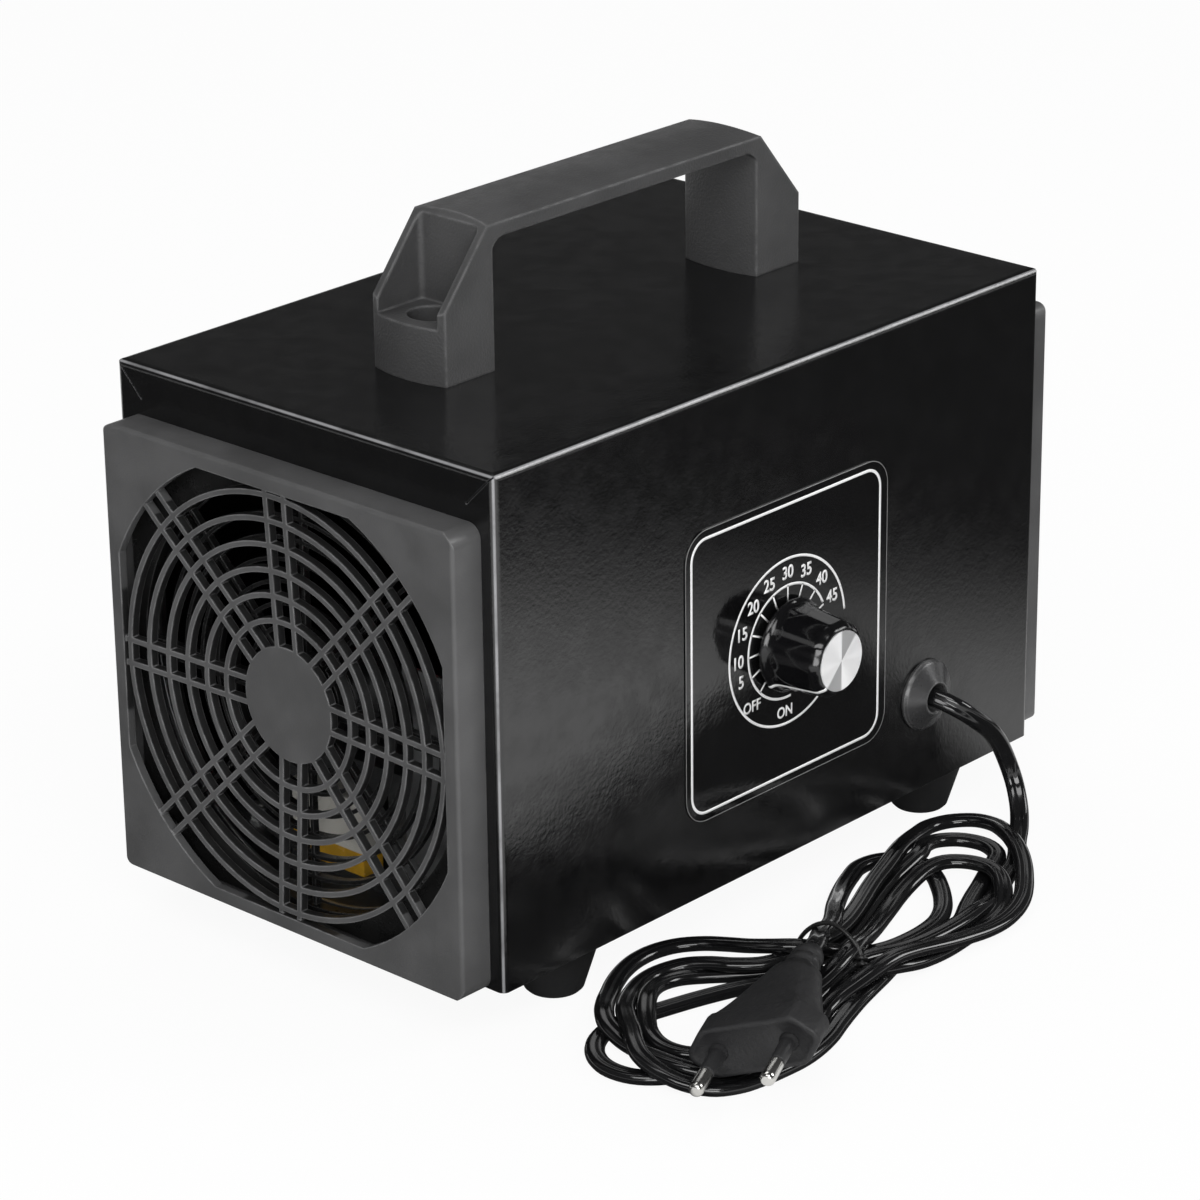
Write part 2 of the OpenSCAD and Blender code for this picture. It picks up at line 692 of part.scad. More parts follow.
// Round tube along X
module rod_tube_x(outer, inner, x0, x1) difference() {
  rod_x(outer, x0, x1);
  rod_x(inner, x0 - cut, x1 + cut);
}

module fan_stator() color("#a05a2c") in_place() translate([0, 0, guard_z])
  translate([rotor_x0 + 7, 0, 0]) rotate([90, 0, 90])
    linear_extrude(fan_x1 - strut_t - 1 - rotor_x0 - 7) difference() {
      union() {
        circle(bearing_r + stator_ring);
        for (k = [0:3]) rotate(90 * k) {
          translate([0, -pole_w / 2]) square([stator_r - shoe_t / 2, pole_w]);
          intersection() {
            circle(stator_r);
            translate([stator_r - shoe_t, -shoe_w / 2]) square([shoe_t, shoe_w]);
          }
        }
      }
      circle(bearing_r + tower_t + run_gap);
    }

module fan_bearings() color("#b08d57") in_place() translate([0, 0, guard_z])
  for (x = [fan_x0 + 7, fan_x1 - strut_t - 1])
    rod_tube_x(bearing_r, fan_shaft_r + run_gap, x, x + bearing_l);

module fan_shaft() color("#d0d2d4") in_place() translate([0, 0, guard_z])
  rod_x(fan_shaft_r, rotor_x0 + 1, fan_x1 - 0.6);

module fan_rotor() color("#2a2a2b") in_place() translate([0, 0, guard_z]) union() {
  difference() {
    rod_x(fan_hub_r, rotor_x0, fan_x1 - strut_t - 0.8);
    rod_x(fan_hub_r - hub_wall, rotor_x0 + 3, fan_x1);
    rod_x(fan_shaft_r, rotor_x0 + 1, fan_x1);
  }
  intersection() {
    for (k = [0:blade_count - 1]) rotate([360 * k / blade_count, 0, 0])
      translate([(rotor_x0 + rotor_x1) / 2, 0, 0]) rotate([0, 0, blade_angle])
        translate([0, 0, (rotor_r + fan_hub_r) / 2 - 1])
          cube([blade_t, blade_l, rotor_r - fan_hub_r + 4], center = true);
    rod_tube_x(rotor_r, fan_hub_r - 1, rotor_x0 + 0.5, rotor_x1);
  }
}

// ---------------------------------------------------------------- label, timer and knob

module label_plate() color("#141414") in_place() difference() {
  translate([label_x, -half_w, label_z]) rotate([90, 0, 0]) linear_extrude(label_t)
    round_square([label_size, label_size], label_corner_r);
  at_knob() rod_y(bushing_r + 0.4, -cut, cut);
}

timer_y = sheet;               // the timer's front plate lies on the inner face
timer_back = -half_w + timer_y + timer_plate_t + timer_d;

module timer_housing() color("#cfc9b8") in_place() difference() {
  union() {
    at_knob() translate([0, -half_w + timer_y + timer_plate_t / 2, 0])
      cube([timer_size + 4, timer_plate_t, timer_size], center = true);
    at_knob() translate([0, -half_w + timer_y + timer_plate_t + timer_d / 2, 0])
      cube([timer_size - 4, timer_d, timer_size - 4], center = true);
    at_knob() rod_y(bushing_r, -timer_y - timer_plate_t, bushing_l - sheet);
  }
  at_knob() rod_y(timer_shaft_r + run_gap, -timer_y - timer_plate_t - timer_d + 4, cut);
  for (x = [-1, 1]) translate([knob_x + x * timer_pitch / 2, 0, control_z])
    rod_y(m4_r, -timer_y - 8, cut);
}

module timer_terminals() color("#c9a227") in_place() at_knob() for (k = [-1, 0, 1])
  translate([k * terminal_pitch, timer_back + terminal_l / 2, -terminal_drop])
    cube([terminal_w, terminal_l, terminal_t], center = true);

module timer_screws() color("#b9bcc0") in_place() for (x = [-1, 1])
  translate([knob_x + x * timer_pitch / 2, -half_w, control_z]) rotate([-90, 0, 0]) {
    cylinder(r1 = csk_r, r2 = m4_r, h = sheet);
    cylinder(r = m4_r, h = sheet + 6);
  }

module timer_shaft() color("#c8cacc") in_place() at_knob()
  rod_y(timer_shaft_r, -timer_y - timer_plate_t - timer_d + 5, shaft_tip);

module knob_body() color("#161617") in_place() at_knob() difference() {
  translate([0, -half_w - knob_y0, 0]) rotate([90, 0, 0]) difference() {
    rotate_extrude() polygon([[0, 0], [skirt_r - 0.6, 0], [skirt_r, 0.6], [skirt_r, 1.4],
      [skirt_r - 0.9, 2.2], [knob_front_r + 1.3, 3.2], [knob_front_r, knob_l - 0.8],
      [knob_front_r - 0.8, knob_l], [0, knob_l]]);
    for (k = [0:flute_count - 1]) rotate(360 * (k + 0.5) / flute_count)
      translate([knob_front_r + flute_r - flute_d, 0, 3.2]) cylinder(r = flute_r, h = knob_l);
    translate([0, 0, knob_l + cap_proud - cap_t]) cylinder(r = cap_r, h = cap_t + cut);
    translate([0, 0, -cut]) cylinder(r = bushing_r + 1.2, h = 2 + cut);
    translate([0, 0, 2 - eps]) cylinder(r = bush_r, h = bush_l);
  }
}

module knob_bush() color("#b5924c") in_place() at_knob() difference() {
  rod_y(bush_r, knob_y0 + 2, knob_y0 + 2 + bush_l - eps);
  rod_y(timer_shaft_r, knob_y0, knob_y0 + 2 + bush_l - 1);
}

module knob_cap() color("#d9dadc") in_place() at_knob()
  rod_y(cap_r, knob_y0 + knob_l + cap_proud - cap_t, knob_reach);

// ---------------------------------------------------------------- ozone cell and supply

module transformer_core() color("#6c6f73") in_place()
  translate([core_x, core_y, floor_z]) difference() {
    translate([0, 0, core_h / 2]) cube([core_l, core_w, core_h], center = true);
    for (y = [-1, 1]) translate([0, y * core_w / 4 - y * 1, core_h / 2])
      cube([core_l + cut, core_w / 4, core_h - 14], center = true);
  }

module transformer_coil() color("#d9a11e") in_place()
  translate([core_x, core_y, floor_z + core_h / 2]) difference() {
    union() for (x = [-1, 1]) translate([x * (core_l / 2 + 3.6), 0, 0])
      cube([7, core_w / 2 + 4, core_h - 15], center = true);
    cube([core_l + 0.2, core_w, core_h], center = true);
  }

module power_module() color("#1d1d1f") in_place() translate([module_x, module_y, floor_z])
  union() {
    translate([0, 0, module_h / 2]) cube([module_l, module_w, module_h], center = true);
    for (x = [-1, 1]) translate([x * (module_l / 2 + 4), 0, 1])
      difference() {
        cube([10, 16, 2], center = true);
        translate([x * 1, 0, -cut - 1]) cylinder(r = m4_r + screw_gap, h = 2 + 2 * cut);
      }
  }

// Two ceramic plates stand on edge in the rack, along the air flow
module at_plates() for (y = [-1, 1])
  translate([rack_x0 + rack_l / 2, rack_y + y * plate_gap / 2, plate_z]) children();

module ozone_plates() color("#eceae4") in_place() at_plates()
  translate([0, 0, plate_h / 2]) cube([plate_l, plate_t, plate_h], center = true);

module plate_electrodes() color("#c9ccd0") in_place() at_plates()
  for (y = [-1, 1]) translate([0, y * (plate_t + electrode_t) / 2, plate_h / 2])
    cube([plate_l - 8, electrode_t, plate_h - 12], center = true);

module plate_rack() color("#c3c6c9") in_place() translate([rack_x0, rack_y, floor_z])
  difference() {
    union() {
      translate([0, -rack_w / 2, 0]) cube([rack_l, rack_w, rack_t]);
      for (x = [0, rack_l - rack_t]) translate([x, -rack_w / 2, 0]) cube([rack_t, rack_w, rack_h]);
      for (x = [rack_t, rack_l - rack_t - 3.8]) translate([x, -plate_gap / 2 - 3, 14])
        cube([3.8, plate_gap + 6, plate_h + 6]);
    }
    translate([rack_l / 2 - (plate_l + nest) / 2, 0, 17]) for (y = [-1, 1])
      translate([0, y * plate_gap / 2 - plate_t / 2 - nest / 2, 0])
        cube([plate_l + nest, plate_t + nest, rack_h]);
    for (x = [14, rack_l - 14]) translate([x, 0, -cut])
      cylinder(r = m4_r + screw_gap, h = rack_t + 2 * cut);
    for (x = [0, rack_l]) translate([x, 0, 7]) rotate([0, 90, 0])
      cylinder(r = 4, h = 4 * rack_t, center = true);
  }

module rack_screws() color("#b9bcc0") in_place() for (x = [14, rack_l - 14])
  translate([rack_x0 + x, rack_y, floor_z + rack_t]) rotate([0, 90, 0])
    screw_x(m4_r, m4_head_r, m4_head_h, rack_t - 0.05);

module terminal_block() color("#e6e2d6") in_place() translate([block_x, block_y, floor_z])
  difference() {
    translate([0, 0, block_h / 2]) cube([block_l, block_w, block_h], center = true);
    for (k = [-1, 0, 1]) translate([0, k * block_pitch, 0]) {
      translate([0, 0, block_wire_h + 2 * block_wire_r]) cylinder(r = block_screw_r, h = block_h);
      for (x = [-block_l / 2 - cut, block_l / 2 - block_bore]) translate([x, 0, block_wire_h])
        rotate([0, 90, 0]) cylinder(r = block_wire_r, h = block_bore + cut);
    }
  }

plate_top = plate_z + plate_h;
red_a = [[-60, rack_y - plate_gap / 2, plate_top + wire_r], [-72, rack_y - 4, plate_top + 12],
  [-88, rack_y + 2, plate_top + 26], [-82, rack_y + 14, plate_top + 40],
  [-60, rack_y + 30, plate_top + 26], [-40, rack_y + 44, 66],
  [module_x - 14, module_y - 6, floor_z + module_h + 8],
  [module_x - 14, module_y - 6, floor_z + module_h + lead_gap]];
red_b = [[-50, rack_y + plate_gap / 2, plate_top + wire_r], [-66, rack_y + 10, plate_top + 9],
  [-84, rack_y + 16, plate_top + 12], [-74, rack_y + 26, plate_top + 16],
  [-50, rack_y + 34, 76], [module_x - 6, module_y + 2, floor_z + module_h + 10],
  [module_x - 6, module_y + 2, floor_z + module_h + lead_gap]];

module red_leads() color("#b3121d") in_place() {
  tube(red_a, 2 * wire_r, 2 * wire_r, 4);
  tube(red_b, 2 * wire_r, 2 * wire_r, 4);
}

module mains_wires() color("#5b3a24") in_place() {
  tube([[grommet_x, -half_w + lead_start + lead_gap, grommet_h],
    [grommet_x, -half_w + 9, grommet_h],
    [grommet_x - 1, -half_w + 22, grommet_h - 4], [block_x + 10, -10, wire_h + 4],
    [block_x + 15, block_y - 24, wire_h], [block_x + 12, block_y - block_pitch, wire_h],
    [block_x + block_l / 2 - 2, block_y - block_pitch, wire_h]], 2 * wire_r, 2 * wire_r, 4);
  tube([[knob_x, timer_back + terminal_l + lead_gap, control_z - terminal_drop],
    [knob_x, timer_back + terminal_l + 6, control_z - terminal_drop],
    [knob_x + 4, timer_back + terminal_l + 12, control_z - terminal_drop - 4],
    [block_x - 24, block_y - 30, wire_h + 28], [block_x - 18, block_y - 8, wire_h + 4],
    [block_x - 12, block_y, wire_h], [block_x - block_l / 2 + 2, block_y, wire_h]],
    2 * wire_r, 2 * wire_r, 4);
  tube([[fan_x0 - lead_gap, fan_wire_y, guard_z - fan_wire_drop],
    [fan_x0 - 6, fan_wire_y, guard_z - fan_wire_drop],
    [fan_x0 - 14, fan_wire_y + 6, wire_h + 8], [block_x + 14, block_y + block_pitch, wire_h],
    [block_x + block_l / 2 - 2, block_y + block_pitch, wire_h]], 2 * wire_r, 2 * wire_r, 4);
}

// ---------------------------------------------------------------- cord, hank and plug

module cord_grommet() color("#2c2c2d") in_place() translate([grommet_x, -half_w, grommet_h])
  rotate([90, 0, 0]) rotate_extrude() polygon([[cord_w / 2, -sheet - grommet_neck_d],
    [grommet_hole_r - 1, -sheet - grommet_neck_d], [grommet_hole_r + 1, -sheet - 0.1],
    [grommet_hole_r - 0.1, -sheet - 0.1], [grommet_hole_r - 0.1, 0], [grommet_r, 0],
    [grommet_r, 0.8], [grommet_r - 0.6, 1.5], [4.9, grommet_front - 0.3],
    [4.4, grommet_front], [4, grommet_front - 0.4], [cord_w / 2, 0.6]]);

module cord_lead() color("#151516") in_place() tube(lead_points, cord_w, cord_t, 4);

module cord_tail() color("#151516") in_place() tube(tail_points, cord_w, cord_t, 4);

// Strip between two round lobes, a little narrower than they are
module between(a, b) {
  d = unit([b[0] - a[0], b[1] - a[1]]);
  n = 0.94 * [-d[1], d[0]];
  polygon([[a[0], a[1]] - a[2] * n, [b[0], b[1]] - b[2] * n, [b[0], b[1]] + b[2] * n,
    [a[0], a[1]] + a[2] * n]);
}

module cord_hank() color("#151516") in_place() difference() {
  linear_extrude(hank_h) union() {
    for (c = [right_lobe, left_lobe, neck]) translate([c[0], c[1]]) circle(c[2]);
    between(neck, right_lobe);
    between(neck, left_lobe);
  }
  at_plug() {
    translate([0, 0, -plug_l]) linear_extrude(plug_l + 2 * pin_l)
      plug_outline(1 + 2 * plug_room / plug_t);
    translate([0, 0, -plug_l - relief_l]) cylinder(r = relief_r + plug_room, h = relief_l + cut);
  }
}

module cord_tie() color("#101010") in_place() translate([neck[0], neck[1], hank_h / 2])
  rotate([0, 0, 8]) difference() {
    cube([tie_w, 2 * (neck[2] + tie_room + tie_t), hank_h + 2 * tie_t], center = true);
    cube([tie_w + cut, 2 * (neck[2] + tie_room), hank_h], center = true);
    translate([0, 0, -hank_h / 2 - tie_t]) cube([tie_w + cut, 4 * neck[2], 2 * tie_t], center = true);
  }

// The plug's own frame: its face is z = 0, the pins point to +Z, its width is along X
module at_plug() translate(plug_face) rotate([0, 0, plug_yaw]) rotate([0, plug_pitch, 0])
  rotate([plug_roll, 0, 0]) rotate([90, 0, 90]) children();

module plug_outline(s = 1) polygon([for (p = [[17.65, 1.2], [12.4, 6.85], [-12.4, 6.85],
  [-17.65, 1.2], [-17.65, -1.2], [-12.4, -6.85], [12.4, -6.85], [17.65, -1.2]])
  [p[0] * s * plug_w / 35.3, p[1] * s * plug_t / 13.7]]);

module plug_body() color("#1b1b1c") in_place() at_plug() {
  translate([0, 0, -plug_front_l]) linear_extrude(plug_front_l) plug_outline();
  hull() {
    translate([0, 0, -plug_front_l - 0.1]) linear_extrude(0.1) plug_outline(0.97);
    translate([0, 0, -plug_l]) linear_extrude(0.1) scale([1, 0.72]) circle(7.5, $fn = 32);
  }
  translate([0, 0, -plug_l - relief_l]) rotate_extrude() polygon([[0, 0], [3.4, 0], [3.6, 2],
    [4.4, 2], [4.5, 4.4], [3.7, 4.4], [3.9, 6.2], [4.8, 6.2], [4.9, 8.6], [4.1, 8.6],
    [4.2, 10.4], [5.1, 10.4], [relief_r, relief_l + 0.1], [0, relief_l + 0.1]]);
}

module plug_pins() color("#c9cbce") in_place() at_plug() for (x = [-1, 1])
  translate([x * pin_pitch / 2, 0, 0]) {
    cylinder(r = pin_r, h = pin_l - pin_tip_l);
    translate([0, 0, pin_l - pin_tip_l])
      cylinder(r1 = pin_r, r2 = pin_r - 0.8 * pin_tip_l, h = pin_tip_l);
  }

case_cover();
chassis();
rubber_feet();
foot_screws();
foot_nuts();
handle();
handle_screws();
handle_washers();
handle_nuts();
front_guard_base();
front_guard_cover();
front_guard_screws();
front_guard_nuts();
rear_guard_base();
rear_guard_cover();
fan_screws();
fan_nuts();
fan_housing();
fan_stator();
fan_bearings();
fan_rotor();
fan_shaft();
label_plate();
timer_housing();
timer_terminals();
timer_screws();
timer_shaft();
knob_body();
knob_bush();
knob_cap();
transformer_core();
transformer_coil();
power_module();
ozone_plates();
plate_electrodes();
plate_rack();
rack_screws();
terminal_block();
red_leads();
mains_wires();
cord_grommet();
cord_lead();
cord_hank();
cord_tail();
cord_tie();
plug_body();
plug_pins();
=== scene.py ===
"""Builds the looks of a steel-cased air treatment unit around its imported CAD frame.

The case, guards, handle, fan and inner parts keep their CAD shape and get a finish of
their own. The flat twin cord, its plug and pins, the wire tie, the printed dial, the timer
knob and its pointer are built here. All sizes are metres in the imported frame.
"""

from __future__ import annotations

import json
import logging
import math
from dataclasses import dataclass, field
from enum import Enum
from typing import Callable, Iterable, Sequence

import bmesh
import bpy
from mathutils import Matrix, Vector

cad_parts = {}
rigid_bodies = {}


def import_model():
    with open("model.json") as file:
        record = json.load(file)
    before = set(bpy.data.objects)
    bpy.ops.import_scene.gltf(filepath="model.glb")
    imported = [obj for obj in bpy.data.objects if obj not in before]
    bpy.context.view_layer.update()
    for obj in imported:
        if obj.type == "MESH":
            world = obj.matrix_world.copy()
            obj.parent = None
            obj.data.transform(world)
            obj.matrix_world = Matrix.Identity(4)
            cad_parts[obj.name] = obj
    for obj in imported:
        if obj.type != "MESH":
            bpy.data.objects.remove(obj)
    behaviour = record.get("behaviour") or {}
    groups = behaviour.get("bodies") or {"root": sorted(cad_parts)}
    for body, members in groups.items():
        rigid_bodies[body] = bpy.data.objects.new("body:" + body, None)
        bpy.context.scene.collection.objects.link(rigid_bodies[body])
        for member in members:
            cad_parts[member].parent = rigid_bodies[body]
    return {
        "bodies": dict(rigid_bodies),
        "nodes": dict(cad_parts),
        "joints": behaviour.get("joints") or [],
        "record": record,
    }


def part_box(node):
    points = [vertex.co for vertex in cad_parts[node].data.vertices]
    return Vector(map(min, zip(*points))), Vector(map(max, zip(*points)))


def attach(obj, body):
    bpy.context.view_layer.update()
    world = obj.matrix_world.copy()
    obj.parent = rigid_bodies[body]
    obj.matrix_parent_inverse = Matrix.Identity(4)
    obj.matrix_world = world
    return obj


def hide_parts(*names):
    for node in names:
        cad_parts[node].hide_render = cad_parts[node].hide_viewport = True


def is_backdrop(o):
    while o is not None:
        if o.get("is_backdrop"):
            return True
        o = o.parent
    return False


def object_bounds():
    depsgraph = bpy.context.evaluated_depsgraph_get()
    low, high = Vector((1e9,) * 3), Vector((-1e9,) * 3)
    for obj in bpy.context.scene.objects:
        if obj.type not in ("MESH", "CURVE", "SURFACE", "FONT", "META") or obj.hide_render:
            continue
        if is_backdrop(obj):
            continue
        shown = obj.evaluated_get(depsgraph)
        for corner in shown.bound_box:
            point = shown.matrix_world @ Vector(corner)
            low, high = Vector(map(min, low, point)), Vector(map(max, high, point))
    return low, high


LOG = logging.getLogger("air_unit")
MM = 0.001
MERGE = 1e-7  # points closer than this are one
SIDE_SHIFT = 9.3 * MM  # the unit's box is centred, so the case sits this far towards +Y
Flat = tuple[float, float]
Point = tuple[float, float, float]
Rgb = Point
Shape = bmesh.types.BMesh
Vert = bmesh.types.BMVert
Edge = bmesh.types.BMEdge
Socket = bpy.types.NodeSocket
Piece = bpy.types.Object

KNOB_AXIS: Point = (1.7 * MM, 0.0, 75.0 * MM)
SHARE: Flat = (0.0, 1.0)
NOISE_BAND: Flat = (0.3, 0.7)  # where most of a noise's values lie
PATCHY, SMEARED, DRAWN = 4.0, 5.0, 3.0  # finer detail in colour, in gloss and in drawn lines


class Body(Enum):
    """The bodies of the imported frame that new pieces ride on."""

    CASE = "case"
    KNOB = "knob"


# ---------------------------------------------------------------- finishes


class Nodes:
    """The node tree of a material or of the surround, with short ways to add to it."""

    def __init__(self, tree: bpy.types.NodeTree) -> None:
        """Takes up a node tree."""
        self.tree = tree

    def add(self, kind: str, inputs: dict | None = None, **settings: object) -> bpy.types.Node:
        """Adds a node.

        Args:
            kind: Node type without its ShaderNode prefix.
            inputs: Values or sockets for the node's inputs, by name or number.
            **settings: Properties of the node itself.

        Returns:
            The new node.
        """
        node = self.tree.nodes.new("ShaderNode" + kind)
        for key, value in settings.items():
            setattr(node, key, value)
        for key, value in (inputs or {}).items():
            self.feed(node.inputs[key], value)
        return node

    def feed(self, socket: Socket, value: object) -> None:
        """Links or sets one input.

        Args:
            socket: The input.
            value: An output socket, or a constant.
        """
        if isinstance(value, Socket):
            self.tree.links.new(value, socket)
        elif isinstance(value, tuple) and len(value) == 3 and socket.type == "RGBA":
            socket.default_value = (*value, 1.0)
        else:
            socket.default_value = value

    def sums(self, kind: str, a: object, b: object = 0.0) -> Socket:
        """The result of one step of arithmetic."""
        return self.add("Math", {0: a, 1: b}, operation=kind).outputs[0]


class Recipe(Nodes):
    """The node tree of one material, with short ways to add the usual patterns."""

    def __init__(self, name: str) -> None:
        """Starts an empty principled material.

        Args:
            name: Name of the material.
        """
        self.material = bpy.data.materials.new(name)
        self.material.use_nodes = True
        super().__init__(self.material.node_tree)
        self.shader = self.tree.nodes["Principled BSDF"]
        self.place = self.add("TexCoord").outputs["Object"]

    def noise(self, size: float, detail: float = 2.0, vector: Socket | None = None) -> Socket:
        """Cloudy noise with blobs of a size in metres and finer detail on them."""
        inputs = {"Vector": vector or self.place, "Scale": 1.0 / size, "Detail": detail}
        return self.add("TexNoise", inputs).outputs["Fac"]

    def vector(self, kind: str, a: object, b: object = (0.0, 0.0, 0.0)) -> object:
        """The outputs of one step of vector arithmetic."""
        return self.add("VectorMath", {0: a, 1: b}, operation=kind).outputs

    def stretch(self, scale: Point, centre: Point = (0.0, 0.0, 0.0)) -> Socket:
        """Object coordinates, moved to a centre and scaled along each axis."""
        return self.vector("MULTIPLY", self.vector("SUBTRACT", self.place, centre)[0], scale)[0]

    def span(self, value: Socket, band: Flat, result: Flat = SHARE) -> Socket:
        """Maps a band of values smoothly onto another.

        Args:
            value: The value.
            band: Start and end of its band.
            result: What the start and the end become.

        Returns:
            The mapped value.
        """
        names = ("From Min", "From Max", "To Min", "To Max")
        inputs = {"Value": value, **dict(zip(names, (*band, *result)))}
        return self.add("MapRange", inputs, interpolation_type="SMOOTHSTEP").outputs["Result"]

    def blend(self, share: object, a: object, b: object) -> Socket:
        """Mixes a share of the second colour into the first."""
        return self.add("Mix", data_type="RGBA", inputs={0: share, 6: a, 7: b}).outputs[2]

    def bump(self, height: Socket, depth: float, normal: Socket | None = None) -> Socket:
        """Relief from a height.

        Args:
            height: Height from 0 to 1.
            depth: Metres that a height of 1 stands for.
            normal: Normal below this layer.

        Returns:
            The new normal.
        """
        node = self.add("Bump", {"Height": height, "Distance": depth, "Strength": 1.0})
        if normal is not None:
            self.feed(node.inputs["Normal"], normal)
        return node.outputs["Normal"]


@dataclass(frozen=True)
class Relief:
    """One layer of relief: blob size and depth in metres, finer detail, and stretch."""

    size: float
    depth: float
    detail: float = 2.0
    scale: Point | None = None


@dataclass(frozen=True)
class Finish:
    """A surface finish: colour and gloss with their variation, relief, softened edges and a painted
    highlight along the edges.
    """

    slot: str
    color: Rgb
    roughness: float
    metallic: float = 0.0
    specular: float = 0.5
    coat: float = 0.0
    coat_roughness: float = 0.1
    reliefs: tuple[Relief, ...] = ()
    blotch: float = 0.15
    blotch_size: float = 0.02
    gloss_spread: float = 0.06
    gloss_size: float = 0.006
    least_roughness: float = 0.02
    edge_radius: float = 0.0004
    edge_samples: int = 4
    # painted highlight along edges: its colour, its share, and the noise patches that break it up
    edge_highlight_color: Rgb | None = None
    edge_highlight_share: float = 0.5
    edge_cosine: Flat = (0.995, 0.93)
    edge_patch_size: float = 0.004
    edge_patch_band: Flat = (0.35, 0.6)
    edge_patch_share: Flat = (0.35, 1.0)

    def make(self) -> bpy.types.Material:
        """Builds the material.

        Returns:
            The finished material.
        """
        recipe = Recipe(self.slot)
        radius = {"Radius": self.edge_radius}
        rounded = recipe.add("Bevel", radius, samples=self.edge_samples).outputs[0]
        color = self.tint(recipe)
        if self.edge_highlight_color is not None:
            # painted highlight: the colour is lightened along the edges
            color = recipe.blend(self.edge_highlight_mask(recipe, rounded), color, self.edge_highlight_color)
        looks = {
            "Base Color": color,
            "Roughness": self.gloss(recipe),
            "Metallic": self.metallic,
            "Specular IOR Level": self.specular,
            "Coat Weight": self.coat,
            "Coat Roughness": self.coat_roughness,
            "Normal": self.surface(recipe, rounded),
        }
        for name, value in looks.items():
            recipe.feed(recipe.shader.inputs[name], value)
        self.extras(recipe)
        return recipe.material

    def tint(self, recipe: Recipe) -> Socket:
        """The colour, slightly blotchy.

        Args:
            recipe: The material under way.

        Returns:
            The colour.
        """
        dark = tuple(c * (1.0 - self.blotch) for c in self.color)
        light = tuple(min(1.0, c * (1.0 + self.blotch)) for c in self.color)
        share = recipe.span(recipe.noise(self.blotch_size, PATCHY), NOISE_BAND)
        return recipe.blend(share, dark, light)

    def gloss(self, recipe: Recipe) -> Socket:
        """The roughness, with smears and fine variation.

        Args:
            recipe: The material under way.

        Returns:
            The roughness.
        """
        low = max(self.least_roughness, self.roughness - self.gloss_spread)
        ends = (low, self.roughness + self.gloss_spread)
        return recipe.span(recipe.noise(self.gloss_size, SMEARED), NOISE_BAND, ends)

    def edge_highlight_mask(self, recipe: Recipe, rounded: Socket) -> Socket:
        """Where the painted edge highlight goes: along edges, broken up by noise.

        Args:
            recipe: The material under way.
            rounded: Normal with softened edges.

        Returns:
            A share from 0 to 1.
        """
        flat = recipe.add("NewGeometry").outputs["Normal"]
        cosine = recipe.vector("DOT_PRODUCT", flat, rounded)["Value"]
        lit_edge = recipe.span(cosine, self.edge_cosine, (0.0, self.edge_highlight_share))
        patches = recipe.span(recipe.noise(self.edge_patch_size, PATCHY), self.edge_patch_band, self.edge_patch_share)
        return recipe.sums("MULTIPLY", lit_edge, patches)

    def surface(self, recipe: Recipe, rounded: Socket) -> Socket:
        """The normal with all layers of relief.

        Args:
            recipe: The material under way.
            rounded: Normal with softened edges.

        Returns:
            The normal.
        """
        normal = rounded
        for layer in self.reliefs:
            vector = recipe.stretch(layer.scale) if layer.scale else None
            height = recipe.noise(layer.size, layer.detail, vector)
            normal = recipe.bump(height, layer.depth, normal)
        return normal

    def extras(self, recipe: Recipe) -> None:
        """Adds what one kind of finish needs more; the plain one needs nothing."""


@dataclass(frozen=True)
class SpunFinish(Finish):
    """Metal turned on a lathe: fine grooves round the centre and a fan-shaped gleam."""

    centre: Point = KNOB_AXIS
    groove: float = 0.00016
    groove_depth: float = 0.000005
    # painted shade: the grey wedges of the spun metal's fan-shaped gleam
    shade_color: Rgb = (0.2, 0.2, 0.205)
    shade_angle: float = 68.0
    shade_cosine: Flat = (0.9, 0.955)
    shade_share: float = 0.75
    gleam_stretch: float = 0.93

    def outward(self, recipe: Recipe) -> Socket:
        """The way from the axis to a point, seen along the axis."""
        return recipe.stretch((1.0, 0.0, 1.0), self.centre)

    def tint(self, recipe: Recipe) -> Socket:
        """The metal's colour with painted shade: two facing wedges greyed where the grooves turn
        from the light.

        Args:
            recipe: The material under way.

        Returns:
            The colour.
        """
        ray = recipe.vector("NORMALIZE", self.outward(recipe))[0]
        turn = math.radians(self.shade_angle)
        middle = (math.cos(turn), 0.0, math.sin(turn))
        near = recipe.sums("ABSOLUTE", recipe.vector("DOT_PRODUCT", ray, middle)["Value"])
        share = recipe.span(near, self.shade_cosine, (0.0, self.shade_share))
        return recipe.blend(share, super().tint(recipe), self.shade_color)

    def surface(self, recipe: Recipe, rounded: Socket) -> Socket:
        """Adds grooves that depend on the distance from the axis.

        Args:
            recipe: The material under way.
            rounded: Normal with softened edges.

        Returns:
            The normal.
        """
        radius = recipe.vector("LENGTH", self.outward(recipe))["Value"]
        line = recipe.add("CombineXYZ", {"X": radius}).outputs[0]
        return recipe.bump(recipe.noise(self.groove, DRAWN, line), self.groove_depth, rounded)

    def extras(self, recipe: Recipe) -> None:
        """Stretches the gleam across the grooves.

        Args:
            recipe: The material under way.
        """
        recipe.shader.inputs["Anisotropic"].default_value = self.gleam_stretch
        tangent = recipe.add("Tangent", direction_type="RADIAL", axis="Y").outputs[0]
        recipe.feed(recipe.shader.inputs["Tangent"], tangent)


